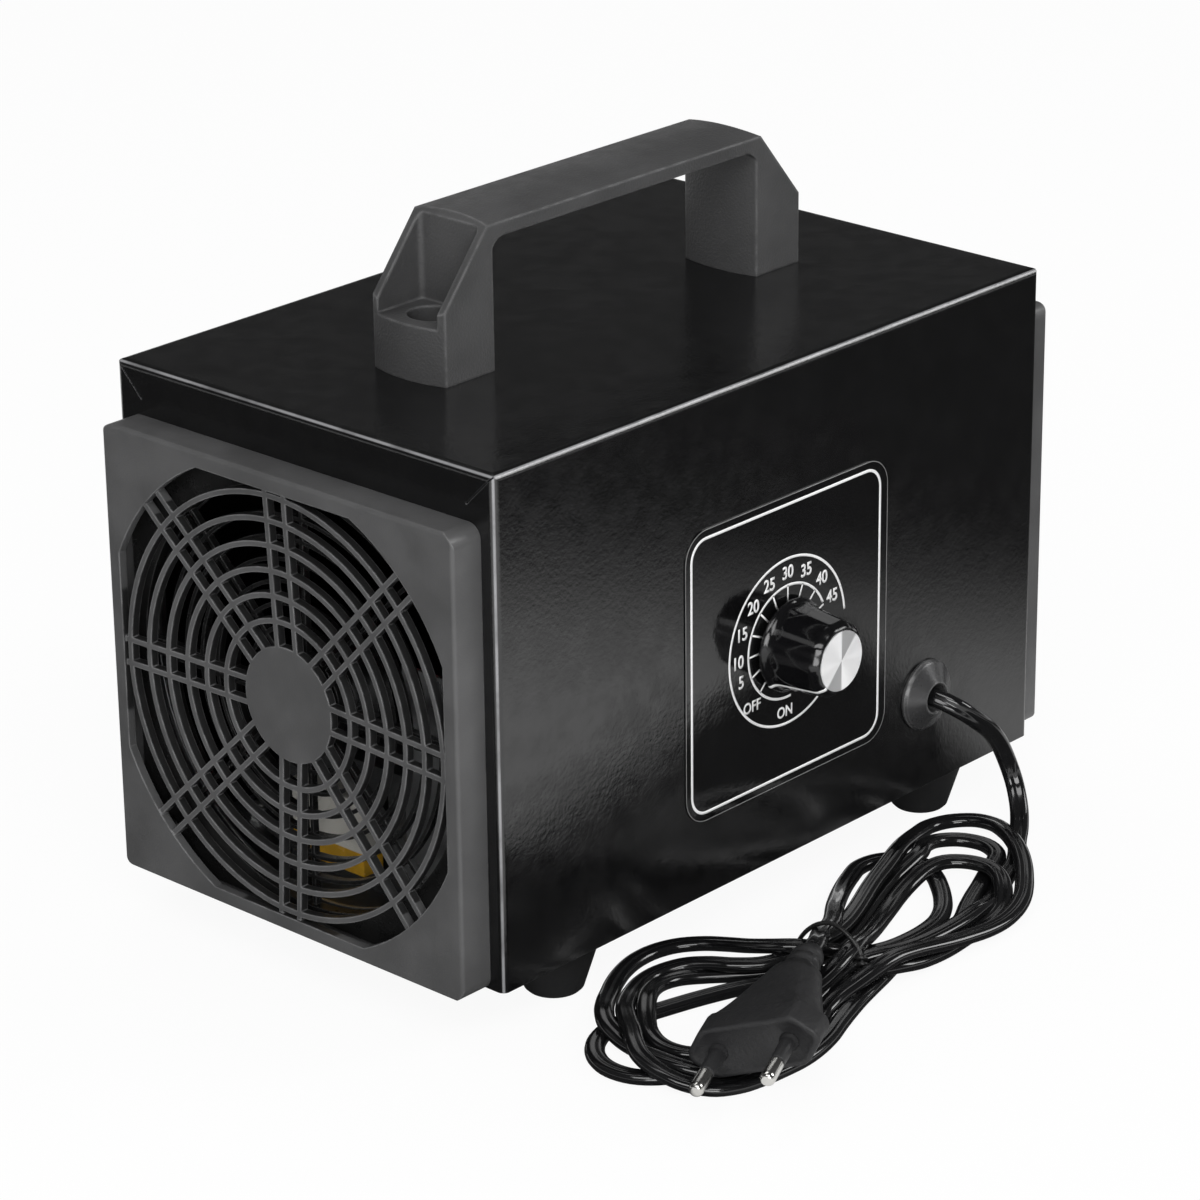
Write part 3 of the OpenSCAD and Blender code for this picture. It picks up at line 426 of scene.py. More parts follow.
@dataclass(frozen=True)
class BandedFinish(Finish):
    """A wound or stacked surface: even bands along one axis, such as turns or laminations."""

    pitch: float = 0.0005
    band_depth: float = 0.0001
    wobble: float = 0.6
    axis: str = "X"

    def surface(self, recipe: Recipe, rounded: Socket) -> Socket:
        """Adds the bands under the other relief.

        Args:
            recipe: The material under way.
            rounded: Normal with softened edges.

        Returns:
            The normal.
        """
        scale = math.tau / (20.0 * self.pitch)  # the wave texture has 20 / tau bands a unit
        inputs = {"Vector": recipe.place, "Scale": scale, "Distortion": self.wobble, "Detail": 2.0}
        node = recipe.add("TexWave", inputs, wave_type="BANDS", bands_direction=self.axis)
        banded = recipe.bump(node.outputs["Fac"], self.band_depth, rounded)
        return super().surface(recipe, banded)


@dataclass(frozen=True)
class WrappedFinish(BandedFinish):
    """A coil wound with tape, with a pale paper wrap over its upper part."""

    wrap_color: Rgb = (0.78, 0.76, 0.7)
    wrap_from: float = 30.0 * MM
    wrap_fade: float = 0.2 * MM

    def tint(self, recipe: Recipe) -> Socket:
        """Tape below, paper above.

        Args:
            recipe: The material under way.

        Returns:
            The colour.
        """
        height = recipe.add("SeparateXYZ", {0: recipe.place}).outputs["Z"]
        ends = (self.wrap_from - self.wrap_fade, self.wrap_from + self.wrap_fade)
        return recipe.blend(recipe.span(height, ends), super().tint(recipe), self.wrap_color)


@dataclass(frozen=True)
class FoldedFinish(Finish):
    """Painted sheet with a painted highlight along the middle of its bends."""

    node: str = "case_cover"
    bend: float = 2.0 * MM
    highlight_depth: Flat = (0.5, 0.66)
    fold_highlight_color: Rgb = (0.34, 0.34, 0.35)
    fold_highlight_share: float = 0.8
    patch_size: float = 0.012
    patch_band: Flat = (0.3, 0.6)
    patch_share: Flat = (0.45, 1.0)

    def tint(self, recipe: Recipe) -> Socket:
        """The paint's colour, with a painted highlight where two faces of the box meet.

        Args:
            recipe: The material under way.

        Returns:
            The colour.
        """
        low, high = (Vector(corner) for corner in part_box(self.node))
        centred = recipe.stretch((1.0, 1.0, 1.0), tuple((low + high) / 2))
        parts = recipe.add("SeparateXYZ", {0: centred}).outputs
        sides = [recipe.sums("ABSOLUTE", parts[axis]) for axis in "XY"] + [parts["Z"]]
        past = [recipe.sums("SUBTRACT", a, b - self.bend) for a, b in zip(sides, (high - low) / 2)]
        bends = [recipe.sums("MINIMUM", past[a], past[b]) for a, b in ((0, 1), (1, 2), (0, 2))]
        deepest = recipe.sums("MAXIMUM", recipe.sums("MAXIMUM", bends[0], bends[1]), bends[2])
        depths = tuple(share * self.bend for share in self.highlight_depth)
        # painted highlight along the middle of each bend, broken up in patches
        highlighted = recipe.span(deepest, depths, (0.0, self.fold_highlight_share))
        noise = recipe.noise(self.patch_size, PATCHY)
        patches = recipe.span(noise, self.patch_band, self.patch_share)
        share = recipe.sums("MULTIPLY", highlighted, patches)
        return recipe.blend(share, super().tint(recipe), self.fold_highlight_color)


@dataclass(frozen=True)
class GrilleFinish(Finish):
    """Moulded guard with painted shade: inside its opening, the walls of the bars are painted
    darker than their faces.
    """

    node: str = "front_guard_cover"
    opening: float = 61.0 * MM
    opening_fade: float = 0.5 * MM
    wall_shade_color: Rgb = (0.008, 0.008, 0.008)
    wall_shade_share: float = 0.9
    wall_slope: Flat = (0.8, 0.5)

    def tint(self, recipe: Recipe) -> Socket:
        """The plastic's colour, with painted shade on the walls of the bars.

        Args:
            recipe: The material under way.

        Returns:
            The colour.
        """
        low, high = (Vector(corner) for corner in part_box(self.node))
        flat = recipe.stretch((0.0, 1.0, 1.0), tuple((low + high) / 2))
        radius = recipe.vector("LENGTH", flat)["Value"]
        rim = (self.opening, self.opening - self.opening_fade)
        # painted shade on the walls of the bars inside the opening
        inside = recipe.span(radius, rim, (0.0, self.wall_shade_share))
        normal = recipe.add("SeparateXYZ", {0: recipe.add("NewGeometry").outputs["Normal"]}).outputs
        wall = recipe.span(recipe.sums("ABSOLUTE", normal["X"]), self.wall_slope)
        share = recipe.sums("MULTIPLY", inside, wall)
        return recipe.blend(share, super().tint(recipe), self.wall_shade_color)


@dataclass(frozen=True)
class RibbonFinish(Finish):
    """Extruded cord sheath: faint drawing lines along the cord on its own UV map."""

    dent_size: float = 0.0016
    dent_depth: float = 0.0000025
    line_depth: float = 0.000004

    def surface(self, recipe: Recipe, rounded: Socket) -> Socket:
        """Adds lines along the cord and soft dents; a cord has no edge to round.

        Args:
            recipe: The material under way.
            rounded: Normal with softened edges; not used.

        Returns:
            The normal.
        """
        dents = recipe.bump(recipe.noise(self.dent_size), self.dent_depth)
        lengthwise = recipe.add("UVMap", uv_map=CORD_UV).outputs[0]
        return recipe.bump(recipe.noise(1.0, DRAWN, lengthwise), self.line_depth, dents)


def grain(size: float, depth: float, detail: float = 2.0) -> tuple[Relief]:
    """One even layer of relief."""
    return (Relief(size, depth, detail),)


# edge colours below are painted highlights along edges
FINISHES: tuple[Finish, ...] = (
    FoldedFinish(
        "case_paint", (0.0024, 0.0024, 0.0026), 0.2, specular=0.95, gloss_spread=0.04,
        reliefs=grain(0.0045, 0.00002, 1.0) + grain(0.0011, 0.000034, 1.5),
        edge_radius=0.0003, edge_highlight_color=(0.1, 0.1, 0.105), edge_highlight_share=0.6,
    ),
    Finish("bare_steel", (0.5, 0.51, 0.52), 0.36, 1.0,
           reliefs=(Relief(0.0006, 0.00002, 3.0, (0.04, 1.0, 1.0)),)),
    Finish("zinc_steel", (0.62, 0.62, 0.6), 0.3, 1.0, reliefs=grain(0.0008, 0.00002),
           edge_radius=0.0002),
    Finish(
        "foot_rubber", (0.014, 0.014, 0.0145), 0.62, specular=0.35,
        reliefs=grain(0.0009, 0.00006, 3.0) + grain(0.006, 0.0001),
        edge_highlight_color=(0.05, 0.05, 0.05), edge_highlight_share=0.3,
    ),
    Finish(
        "handle_plastic", (0.062, 0.062, 0.063), 0.42, specular=0.45, gloss_spread=0.05,
        reliefs=grain(0.0007, 0.00014) + grain(0.01, 0.0001),
        edge_radius=0.0011, edge_highlight_color=(0.19, 0.19, 0.192), edge_highlight_share=0.7,
    ),
    GrilleFinish(
        "guard_plastic", (0.078, 0.078, 0.079), 0.38,
        reliefs=grain(0.0005, 0.00005, 3.0) + grain(0.012, 0.00014),
        edge_radius=0.0006, edge_highlight_color=(0.3, 0.3, 0.305), edge_highlight_share=0.7,
    ),
    # darker copy of the guard plastic for the guard bases: painted shade behind the covers
    Finish(
        "guard_base_shaded", (0.01, 0.01, 0.01), 0.3,
        reliefs=grain(0.0005, 0.00005, 3.0) + grain(0.01, 0.0001),
        edge_highlight_color=(0.16, 0.16, 0.162), edge_highlight_share=0.6,
    ),
    Finish(
        "label_film", (0.0035, 0.0035, 0.0037), 0.08, specular=0.8, gloss_spread=0.03,
        reliefs=grain(0.009, 0.00004, 1.0) + grain(0.0011, 0.000016, 3.0), edge_radius=0.0001,
    ),
    Finish("knob_plastic", (0.004, 0.004, 0.0045), 0.09, specular=0.6, gloss_spread=0.03,
           reliefs=grain(0.0015, 0.000008), edge_radius=0.0005),
    SpunFinish("spun_aluminium", (0.97, 0.97, 0.98), 0.4, 0.4, edge_radius=0.0001, blotch=0.03,
               gloss_spread=0.03),
    Finish("brass", (0.75, 0.55, 0.24), 0.28, 1.0, reliefs=grain(0.0008, 0.00002)),
    Finish("timer_resin", (0.66, 0.62, 0.52), 0.45, reliefs=grain(0.0006, 0.00003)),
    Finish(
        "fan_plastic", (0.012, 0.012, 0.012), 0.4,
        reliefs=grain(0.0006, 0.00003) + grain(0.01, 0.0001),
        edge_highlight_color=(0.05, 0.05, 0.05), edge_highlight_share=0.3,
    ),
    BandedFinish("copper_winding", (0.62, 0.26, 0.11), 0.3, 1.0, pitch=0.0004, band_depth=0.00012),
    BandedFinish(
        "core_iron", (0.16, 0.165, 0.17), 0.48, 0.8, pitch=0.0005, band_depth=0.00008, axis="Z",
        reliefs=grain(0.002, 0.00004, 4.0), edge_highlight_color=(0.32, 0.3, 0.28),
    ),
    WrappedFinish(
        "winding_tape", (0.72, 0.4, 0.035), 0.24, coat=0.4, pitch=0.011, band_depth=0.0002,
        axis="Y", reliefs=grain(0.003, 0.00016, 3.0), blotch=0.2, blotch_size=0.008,
    ),
    Finish("potting_resin", (0.016, 0.016, 0.018), 0.14, coat=0.3,
           reliefs=grain(0.007, 0.00016, 1.0)),
    Finish("white_ceramic", (0.84, 0.83, 0.8), 0.16, coat=0.35, reliefs=grain(0.002, 0.00003),
           blotch=0.05),
    Finish("plate_silver", (0.68, 0.69, 0.7), 0.32, 1.0,
           reliefs=(Relief(0.0006, 0.00002, 3.0, (1.0, 1.0, 0.05)),)),
    Finish("block_resin", (0.8, 0.78, 0.7), 0.4, reliefs=grain(0.0008, 0.00003), blotch=0.06),
    Finish("red_insulation", (0.62, 0.012, 0.02), 0.24, coat=0.3, reliefs=grain(0.0015, 0.00003)),
    Finish("brown_insulation", (0.13, 0.05, 0.025), 0.26, coat=0.3,
           reliefs=grain(0.0015, 0.00003)),
    Finish(
        "grommet_rubber", (0.034, 0.034, 0.035), 0.27, specular=0.9, gloss_spread=0.03,
        reliefs=grain(0.0006, 0.00001, 3.0), edge_radius=0.0008, edge_highlight_color=(0.25, 0.25, 0.25),
        edge_highlight_share=0.7,
    ),
    RibbonFinish("cord_pvc", (0.006, 0.006, 0.0065), 0.15, coat=0.5, coat_roughness=0.05),
    Finish("tie_plastic", (0.012, 0.012, 0.012), 0.28, reliefs=grain(0.0008, 0.00004)),
    Finish(
        "plug_pvc", (0.02, 0.02, 0.021), 0.46, specular=0.4, gloss_spread=0.12,
        reliefs=(*grain(0.0005, 0.00008, 4.0), Relief(0.0012, 0.00014, 4.0, (0.25, 1.0, 1.0))),
        edge_radius=0.0005, edge_highlight_color=(0.07, 0.07, 0.072), edge_highlight_share=0.6,
    ),
    Finish("pin_nickel", (0.72, 0.71, 0.68), 0.14, 1.0, reliefs=grain(0.0008, 0.00001)),
    Finish("print_white", (0.86, 0.86, 0.86), 0.3, reliefs=grain(0.0004, 0.00001), blotch=0.04,
           edge_radius=0.00003),
    Finish("film_edge", (0.2, 0.2, 0.2), 0.3, reliefs=grain(0.0008, 0.00001),
           edge_radius=0.00003),
)


@dataclass
class PaintShop:
    """Makes every finish once and puts it on CAD nodes and new pieces."""

    materials: dict[str, bpy.types.Material] = field(
        default_factory=lambda: {finish.slot: finish.make() for finish in FINISHES}
    )
    shaded_guard_bases: tuple[str, ...] = ("front_guard_base", "rear_guard_base")

    def paint(self, piece: Piece, slot: str) -> None:
        """Puts one finish on a whole piece."""
        piece.data.materials.clear()
        piece.data.materials.append(self.materials[slot])

    def paint_frame(self, frame: dict) -> None:
        """Gives every CAD node the finish of its material slot; the guard bases get a darker copy
        of the guard plastic as painted shade behind the covers.

        Args:
            frame: The loaded frame.
        """
        for part in frame["record"]["subparts"]:
            node = frame["nodes"][part["node"]]
            inner = part["node"] in self.shaded_guard_bases
            slot = "guard_base_shaded" if inner else part["material_slot"]
            if not node.material_slots:
                self.paint(node, slot)
            for holder in node.material_slots:
                holder.material = self.materials[slot]


# ---------------------------------------------------------------- mesh helpers


@dataclass
class SubAssembly:
    """A group of new pieces, which the paint shop dresses."""

    shop: PaintShop

    def finish(
        self, shape: Shape, name: str, slot: str, body: Body = Body.CASE,
        record_slot: str | None = None, place: Matrix | None = None,
    ) -> Piece:
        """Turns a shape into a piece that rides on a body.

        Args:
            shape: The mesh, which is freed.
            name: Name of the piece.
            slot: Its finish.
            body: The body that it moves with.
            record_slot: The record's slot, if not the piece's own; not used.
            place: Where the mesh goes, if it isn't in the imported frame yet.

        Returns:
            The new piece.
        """
        bmesh.ops.recalc_face_normals(shape, faces=shape.faces)
        if place is not None:
            bmesh.ops.transform(shape, matrix=place, verts=shape.verts)
        mesh = bpy.data.meshes.new(name)
        shape.to_mesh(mesh)
        shape.free()
        mesh.shade_smooth()
        piece = bpy.data.objects.new(name, mesh)
        bpy.context.scene.collection.objects.link(piece)
        self.shop.paint(piece, slot)
        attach(piece, body.value)
        LOG.info("%s: %d faces on %s", name, len(mesh.polygons), body.value)
        return piece


def from_case(points: Iterable[Point]) -> list[Vector]:
    """Turns points in millimetres from the case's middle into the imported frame's metres."""
    return [Vector((x * MM, y * MM + SIDE_SHIFT, z * MM)) for x, y, z in points]


def in_metres(outline: Iterable[Flat]) -> list[Flat]:
    """Turns an outline in millimetres into metres."""
    return [(a * MM, b * MM) for a, b in outline]


def fresh(made: Iterable[object], kind: type) -> list:
    """Those of an operator's new elements that are of one kind."""
    return [element for element in made if isinstance(element, kind)]


def loose_edges(made: Iterable[object]) -> list[Edge]:
    """The far edges of an extruded row: those with both ends new."""
    verts = set(fresh(made, Vert))
    return [edge for edge in fresh(made, Edge) if all(vert in verts for vert in edge.verts)]


def spaced(line: Sequence[Vector], count: int) -> list[Vector]:
    """Spaces points evenly along a line.

    Args:
        line: The line's points.
        count: Number of spaces.

    Returns:
        The spaced points, from the line's first point to just before its last.
    """
    spans = [(b - a).length for a, b in zip(line, line[1:])]
    total, walked, index, out = sum(spans), 0.0, 0, []
    for k in range(count):
        goal = total * k / count
        while walked + spans[index] < goal:
            walked += spans[index]
            index += 1
        out.append(line[index].lerp(line[index + 1], (goal - walked) / spans[index]))
    return out


def along(points: Sequence[Vector], step: float, finer: int = 4) -> list[Vector]:
    """A smooth line through points, evenly spaced.

    Args:
        points: Points on the line.
        step: Spacing of the result.
        finer: Points of the curve for each step of the result.

    Returns:
        The spaced points, with both ends kept.
    """
    line = [2 * points[0] - points[1], *points, 2 * points[-1] - points[-2]]
    curve: list[Vector] = []
    for p0, p1, p2, p3 in zip(line, line[1:], line[2:], line[3:]):
        t1 = (p1 - p0).length ** 0.5
        t2 = t1 + (p2 - p1).length ** 0.5
        t3 = t2 + (p3 - p2).length ** 0.5
        count = max(finer, int((p2 - p1).length / step * finer))
        for k in range(count):
            t = t1 + (t2 - t1) * k / count
            a1 = p0.lerp(p1, t / t1)
            a2 = p1.lerp(p2, (t - t1) / (t2 - t1))
            a3 = p2.lerp(p3, (t - t2) / (t3 - t2))
            b1 = a1.lerp(a2, t / t2)
            b2 = a2.lerp(a3, (t - t1) / (t3 - t1))
            curve.append(b1.lerp(b2, (t - t1) / (t2 - t1)))
    curve.append(points[-1].copy())
    length = sum((b - a).length for a, b in zip(curve, curve[1:]))
    return [*spaced(curve, max(2, round(length / step))), curve[-1]]


def sweep(
    shape: Shape, line: Sequence[Vector], sides: Sequence[Vector],
    profile: Callable[[int], Sequence[Flat]],
) -> list[list[Vert]]:
    """Draws a closed profile along a line and closes both ends.

    Args:
        shape: The mesh that grows.
        line: Centres of the rings.
        sides: Direction of the profile's first axis at each ring.
        profile: Gives the profile's points for a ring's number.

    Returns:
        The rings of vertices.
    """
    rings: list[list[Vert]] = []
    for index, centre in enumerate(line):
        ahead = (line[min(index + 1, len(line) - 1)] - line[max(index - 1, 0)]).normalized()
        side = (sides[index] - ahead * sides[index].dot(ahead)).normalized()
        top = side.cross(ahead).normalized()
        places = [centre + side * u + top * v for u, v in profile(index)]
        if not rings:
            ring = [shape.verts.new(place) for place in places]
            edges = [shape.edges.new((a, b)) for a, b in zip(ring, ring[1:] + ring[:1])]
            bmesh.ops.contextual_create(shape, geom=edges)
        else:
            made = bmesh.ops.extrude_edge_only(shape, edges=edges)["geom"]
            new = set(fresh(made, Vert))
            ring = [next(v for e in old.link_edges for v in e.verts if v in new) for old in ring]
            for vert, place in zip(ring, places):
                vert.co = place
            edges = loose_edges(made)
        rings.append(ring)
    bmesh.ops.contextual_create(shape, geom=edges)
    bmesh.ops.recalc_face_normals(shape, faces=shape.faces)
    return rings


# ---------------------------------------------------------------- cord

CORD_UV = "along"
ROUTE_MM: tuple[Point, ...] = (
    (60.2, -64, 41.5), (60.3, -70.9, 41.4), (63.4, -76.4, 38.7), (68.4, -78.7, 34.4),
    (73.6, -79.4, 29.8), (78.1, -79.2, 24.5), (81.3, -79.6, 18.3), (82.1, -81.8, 11.8),
    (79.6, -85.4, 6.5), (74.8, -89.3, 3.2), (69.1, -93, 1.9), (63.5, -97.2, 1.6),
    (57.5, -100.8, 1.6), (51.1, -103.4, 1.6), (44.7, -106.3, 1.6), (38.3, -109.1, 1.8),
    (31.8, -111.6, 2.7), (25.2, -113.5, 3.9), (18.4, -114.8, 4.3), (11.4, -115.4, 4.4),
    (4.4, -115.5, 4.5), (-2.6, -115, 4.6), (-9.4, -113.8, 5), (-16.2, -112.4, 5.8),
    (-23.1, -111.4, 6.2), (-30, -111.2, 5), (-36.7, -111.6, 3.1), (-43.4, -112.8, 1.9),
    (-50.1, -115, 1.6), (-56.7, -117.3, 1.6), (-63.5, -118.6, 1.6), (-70.5, -118.5, 1.6),
    (-77.4, -117.3, 1.6), (-84.1, -115.5, 1.6), (-90.7, -113.1, 1.6), (-96.6, -109.4, 1.6),
    (-100.6, -103.8, 1.6), (-101.4, -96.9, 1.6), (-98.8, -90.5, 1.6), (-93.7, -85.7, 1.6),
    (-87.3, -83.2, 1.6), (-80.3, -83.1, 1.6), (-73.5, -84.6, 1.6), (-66.7, -86.4, 1.6),
    (-60, -88.3, 1.6), (-53.4, -90.5, 1.6), (-46.8, -93, 1.6), (-40.5, -96, 1.6),
    (-34.6, -99.6, 1.8), (-29.4, -104.3, 2.3), (-25.5, -110, 3.2), (-21.3, -115.5, 4.4),
    (-15.3, -118.8, 4.5), (-8.5, -119.8, 3.3), (-1.6, -119.6, 2.3), (5.4, -119.1, 1.7),
    (12.3, -118.5, 1.6), (19.3, -117.7, 1.6), (26.3, -117.1, 1.7), (33, -115.3, 2.3),
    (38.6, -111.7, 3.9), (43.5, -106.8, 4.7), (46.7, -100.7, 4.6), (45.8, -93.9, 4.5),
    (41, -89, 4.5), (34.2, -87.9, 3.8), (27.4, -88.4, 2.5), (20.6, -90.1, 1.8), (14.1, -92.6, 1.8),
    (7.7, -95.3, 2.2), (1.4, -98.3, 3.1), (-4.7, -101.3, 4.3), (-10.8, -104.4, 6),
    (-16.9, -107.3, 7.9), (-23.3, -109.8, 9), (-30, -111.5, 8.3), (-36.8, -111.9, 6.5),
    (-43.5, -111.4, 4.9), (-50.4, -111.1, 3.5), (-57.2, -111.9, 2.4), (-64.1, -113, 1.7),
    (-71.1, -113.1, 1.6), (-77.8, -111.3, 1.6), (-82.8, -106.5, 1.6), (-84.3, -99.8, 1.9),
    (-82.1, -93.3, 2.7), (-77.6, -88.2, 3.9), (-72.3, -83.6, 4.3), (-66.6, -79.7, 3.7),
    (-60.1, -77.4, 2.7), (-53.3, -78.1, 1.9), (-47.5, -81.9, 1.6), (-42.4, -86.7, 1.6),
    (-37.1, -91.2, 1.7), (-31.5, -95.4, 2), (-25.1, -97.9, 2.5), (-18.1, -98, 2.3),
    (-11.3, -96.6, 1.9), (-4.6, -94.6, 1.6), (2, -92.1, 1.6), (8.4, -89.4, 1.6), (14.8, -86.7, 1.6),
    (21.4, -84.2, 1.6), (28.1, -82.2, 1.9), (34.9, -81.3, 3), (41.7, -80.4, 4), (48, -77.4, 3.5),
    (54.7, -76.8, 2.4), (60.4, -80.5, 1.8), (62.4, -87.1, 1.6), (59.6, -93.3, 1.6),
    (53.6, -96.6, 1.6), (47.2, -99.3, 1.6), (40.8, -102.2, 1.6), (34.4, -104.9, 1.6),
    (28, -107.9, 1.6), (21.8, -111.1, 1.6), (15.1, -112.9, 1.6), (8.1, -113.4, 1.6),
    (1.1, -113.3, 1.6), (-5.9, -113.4, 1.6), (-12.7, -114.8, 1.8), (-19.3, -117.1, 2.3),
    (-26, -119, 2.5), (-32.8, -120.5, 2), (-39.5, -122.4, 1.6), (-46.1, -124.8, 1.6),
    (-52.6, -127.3, 1.6), (-59.4, -129, 1.6), (-66.3, -129.8, 1.6), (-73.3, -129.5, 1.6),
    (-80.2, -128.7, 1.6), (-87, -127, 1.6), (-92.9, -123.4, 1.9), (-96.6, -117.6, 2.9),
    (-98.1, -111, 4.4), (-97, -104.2, 5.6), (-93.2, -98.4, 6), (-88.5, -93.3, 5.6),
    (-84.1, -87.9, 4.9), (-79.4, -82.7, 4.4), (-74, -78.5, 3.5), (-68.1, -74.9, 2.4),
    (-61.7, -72.2, 1.8), (-54.8, -71.6, 1.8), (-48.8, -74.8, 2.8), (-45.4, -80.7, 4),
    (-42.5, -87, 4.6), (-37.9, -92.2, 4.8), (-31.5, -95, 5), (-24.6, -95.9, 5.3),
    (-17.6, -95.7, 5.2), (-10.7, -94.6, 4.8), (-4, -92.8, 4.6), (2.6, -90.3, 4.6), (9, -87.5, 4.6),
    (15.3, -84.6, 4.6), (21.8, -81.9, 4.6), (28.3, -79.6, 4.8), (34.9, -77.1, 5),
    (41.3, -74.4, 4.4), (47.8, -72, 3.5), (54.4, -69.9, 2.5), (61.2, -68.6, 1.9),
    (67.7, -70.8, 1.9), (71.7, -76.4, 2.5), (71.5, -83.2, 3.3), (68.4, -89.4, 4.1),
    (64.5, -95.2, 4.5), (60.1, -100.6, 4.5), (55.3, -105.6, 3.9), (49.9, -110.1, 3.6),
    (44.3, -114.3, 3.7), (38.4, -118, 3.8), (31.9, -120.6, 3.5), (25.1, -121.9, 3.3),
    (18.1, -122.1, 3.5), (11.1, -121.6, 4.1), (4.2, -120.8, 4.8), (-2.6, -120, 5.8),
    (-9.5, -119.4, 6.9), (-16.5, -119, 7.6), (-23.4, -118.8, 7), (-30.2, -118.1, 5.4),
    (-36.8, -117.2, 3.6), (-43.6, -118.1, 2.2), (-50, -120.8, 1.7), (-56.7, -123, 1.6),
    (-63.6, -124, 1.6), (-70.6, -124, 1.6), (-77.5, -123.2, 1.6), (-84.3, -121.5, 2.1),
    (-89.9, -117.7, 3.2), (-92.6, -111.4, 4.1), (-92.6, -104.4, 3.8), (-91.3, -97.6, 3),
    (-89.9, -90.8, 3.1), (-87.7, -84.3, 4.1), (-83.2, -79, 4.2), (-77.9, -74.6, 3.3),
    (-72.1, -70.7, 2.4), (-66.2, -67.1, 1.9), (-59.8, -64.1, 1.6), (-53.1, -62.4, 1.6),
    (-46.1, -62.4, 1.6), (-39.6, -64.7, 1.7), (-35.1, -70, 2.4), (-33.2, -76.6, 3.6),
    (-32.7, -83.3, 5.2), (-31.6, -90, 6.9), (-28.4, -96.1, 7.7), (-23.1, -100.4, 6.5),
    (-17.2, -103.1, 4.1), (-10.8, -105.5, 2.3), (-4.1, -107.3, 1.7), (2.8, -108.1, 1.6),
    (9.8, -108, 1.6), (16.6, -106.7, 1.6), (22.9, -103.6, 1.6), (28.4, -99.3, 1.6),
    (33.4, -94.3, 1.6), (37.8, -89, 1.6), (41.1, -82.9, 1.6), (40.2, -76.1, 1.6),
    (35.3, -71.3, 1.6), (28.5, -70.3, 1.6), (21.9, -72.6, 1.7), (15.6, -75.6, 2.1),
    (9.7, -79.1, 3.1), (4, -82.9, 4.5), (-1.6, -86.8, 5.9), (-7.1, -91, 7.1), (-12.8, -94.9, 8.2),
    (-19, -97.9, 9.6), (-24.8, -101.2, 11.5), (-30.2, -105.1, 13.6), (-35.8, -108.9, 15.4),
    (-42, -112, 16.2),
)


@dataclass
class MainsCord(SubAssembly):
    """The flat twin cord from the grommet through the tied hank to the plug."""

    width: float = 5.2 * MM
    thickness: float = 3.1 * MM
    step: float = 1.6 * MM
    length: float = 1.66
    arc_points: int = 11
    groove_angle: float = 122.0
    turned_until: float = 40.0 * MM
    flat_from: float = 66.0 * MM
    lead_faces: Point = (-0.7, -0.64, 0.33)
    smoothing: int = 6
    uv_scale: Flat = (30.0, 1.7)

    def profile(self) -> list[Flat]:
        """Two round cores side by side with a shallow groove between them.

        Returns:
            Points of the closed profile, across and up.
        """
        core = self.thickness / 2
        offset = self.width / 2 - core
        shares = [2 * k / (self.arc_points - 1) - 1 for k in range(self.arc_points)]
        half = [math.radians(self.groove_angle * share) for share in shares]
        right = [(offset + core * math.cos(angle), core * math.sin(angle)) for angle in half]
        return [*right, *[(-across, -height) for across, height in right]]

    def sides(self, line: Sequence[Vector]) -> list[Vector]:
        """Which way the cord is wide: turned where it leaves the case, flat on the floor.

        Args:
            line: The cord's centres.

        Returns:
            A direction for each centre.
        """
        sides = []
        for index, (a, b) in enumerate(zip([line[0], *line[:-1]], [*line[1:], line[-1]])):
            walked = index * self.step - self.turned_until
            share = min(1.0, max(0.0, walked / (self.flat_from - self.turned_until)))
            flat = (b - a).cross(Vector(self.lead_faces).lerp(Vector((0, 0, 1)), share))
            sides.append(flat.normalized() if flat.length > MERGE else Vector((1, 0, 0)))
        for _ in range(self.smoothing):
            rows = zip([sides[0], *sides], sides, [*sides[1:], sides[-1]])
            sides = [(a + 2 * b + c).normalized() for a, b, c in rows]
        return sides

    def build(self, carried: Sequence[Piece]) -> Piece:
        """Makes the cord.

        Args:
            carried: The plug's pieces; not used.

        Returns:
            The cord.
        """
        line = along(from_case(ROUTE_MM), self.step)
        outline = self.profile()
        shape = bmesh.new()
        rings = sweep(shape, line, self.sides(line), lambda index: outline)
        layer = shape.loops.layers.uv.new(CORD_UV)
        spot = {v: (r, k) for r, ring in enumerate(rings) for k, v in enumerate(ring)}
        for loop in (loop for face in shape.faces for loop in face.loops):
            r, k = spot[loop.vert]
            loop[layer].uv = (r * self.step * self.uv_scale[0], k * self.uv_scale[1])
        cord = self.finish(shape, "mains_cord", "cord_pvc")
        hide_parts("cord_lead", "cord_hank", "cord_tail")
        tuple(line[0])
        [tuple(p) for p in line]
        return cord


# ---------------------------------------------------------------- turned and drawn shapes


def softened(
    corners: Sequence[Flat], radius: float, steps: int = 4, most: float = 0.45
) -> list[Flat]:
    """Rounds the inner corners of an open outline.

    Args:
        corners: The outline's corners.
        radius: How far from a corner the rounding starts.
        steps: Pieces in each rounding.
        most: Largest share of a side that a rounding takes.

    Returns:
        The rounded outline.
    """
    spots = [Vector((*corner, 0.0)) for corner in corners]
    out = [spots[0]]
    for before, spot, after in zip(spots, spots[1:], spots[2:]):
        start, end = (
            spot + (way - spot).normalized() * min(radius, (way - spot).length * most)
            for way in (before, after)
        )
        for k in range(steps + 1):
            t = k / steps
            out.append(start.lerp(spot, t).lerp(spot.lerp(end, t), t))
    return [(p.x, p.y) for p in [*out, spots[-1]]]


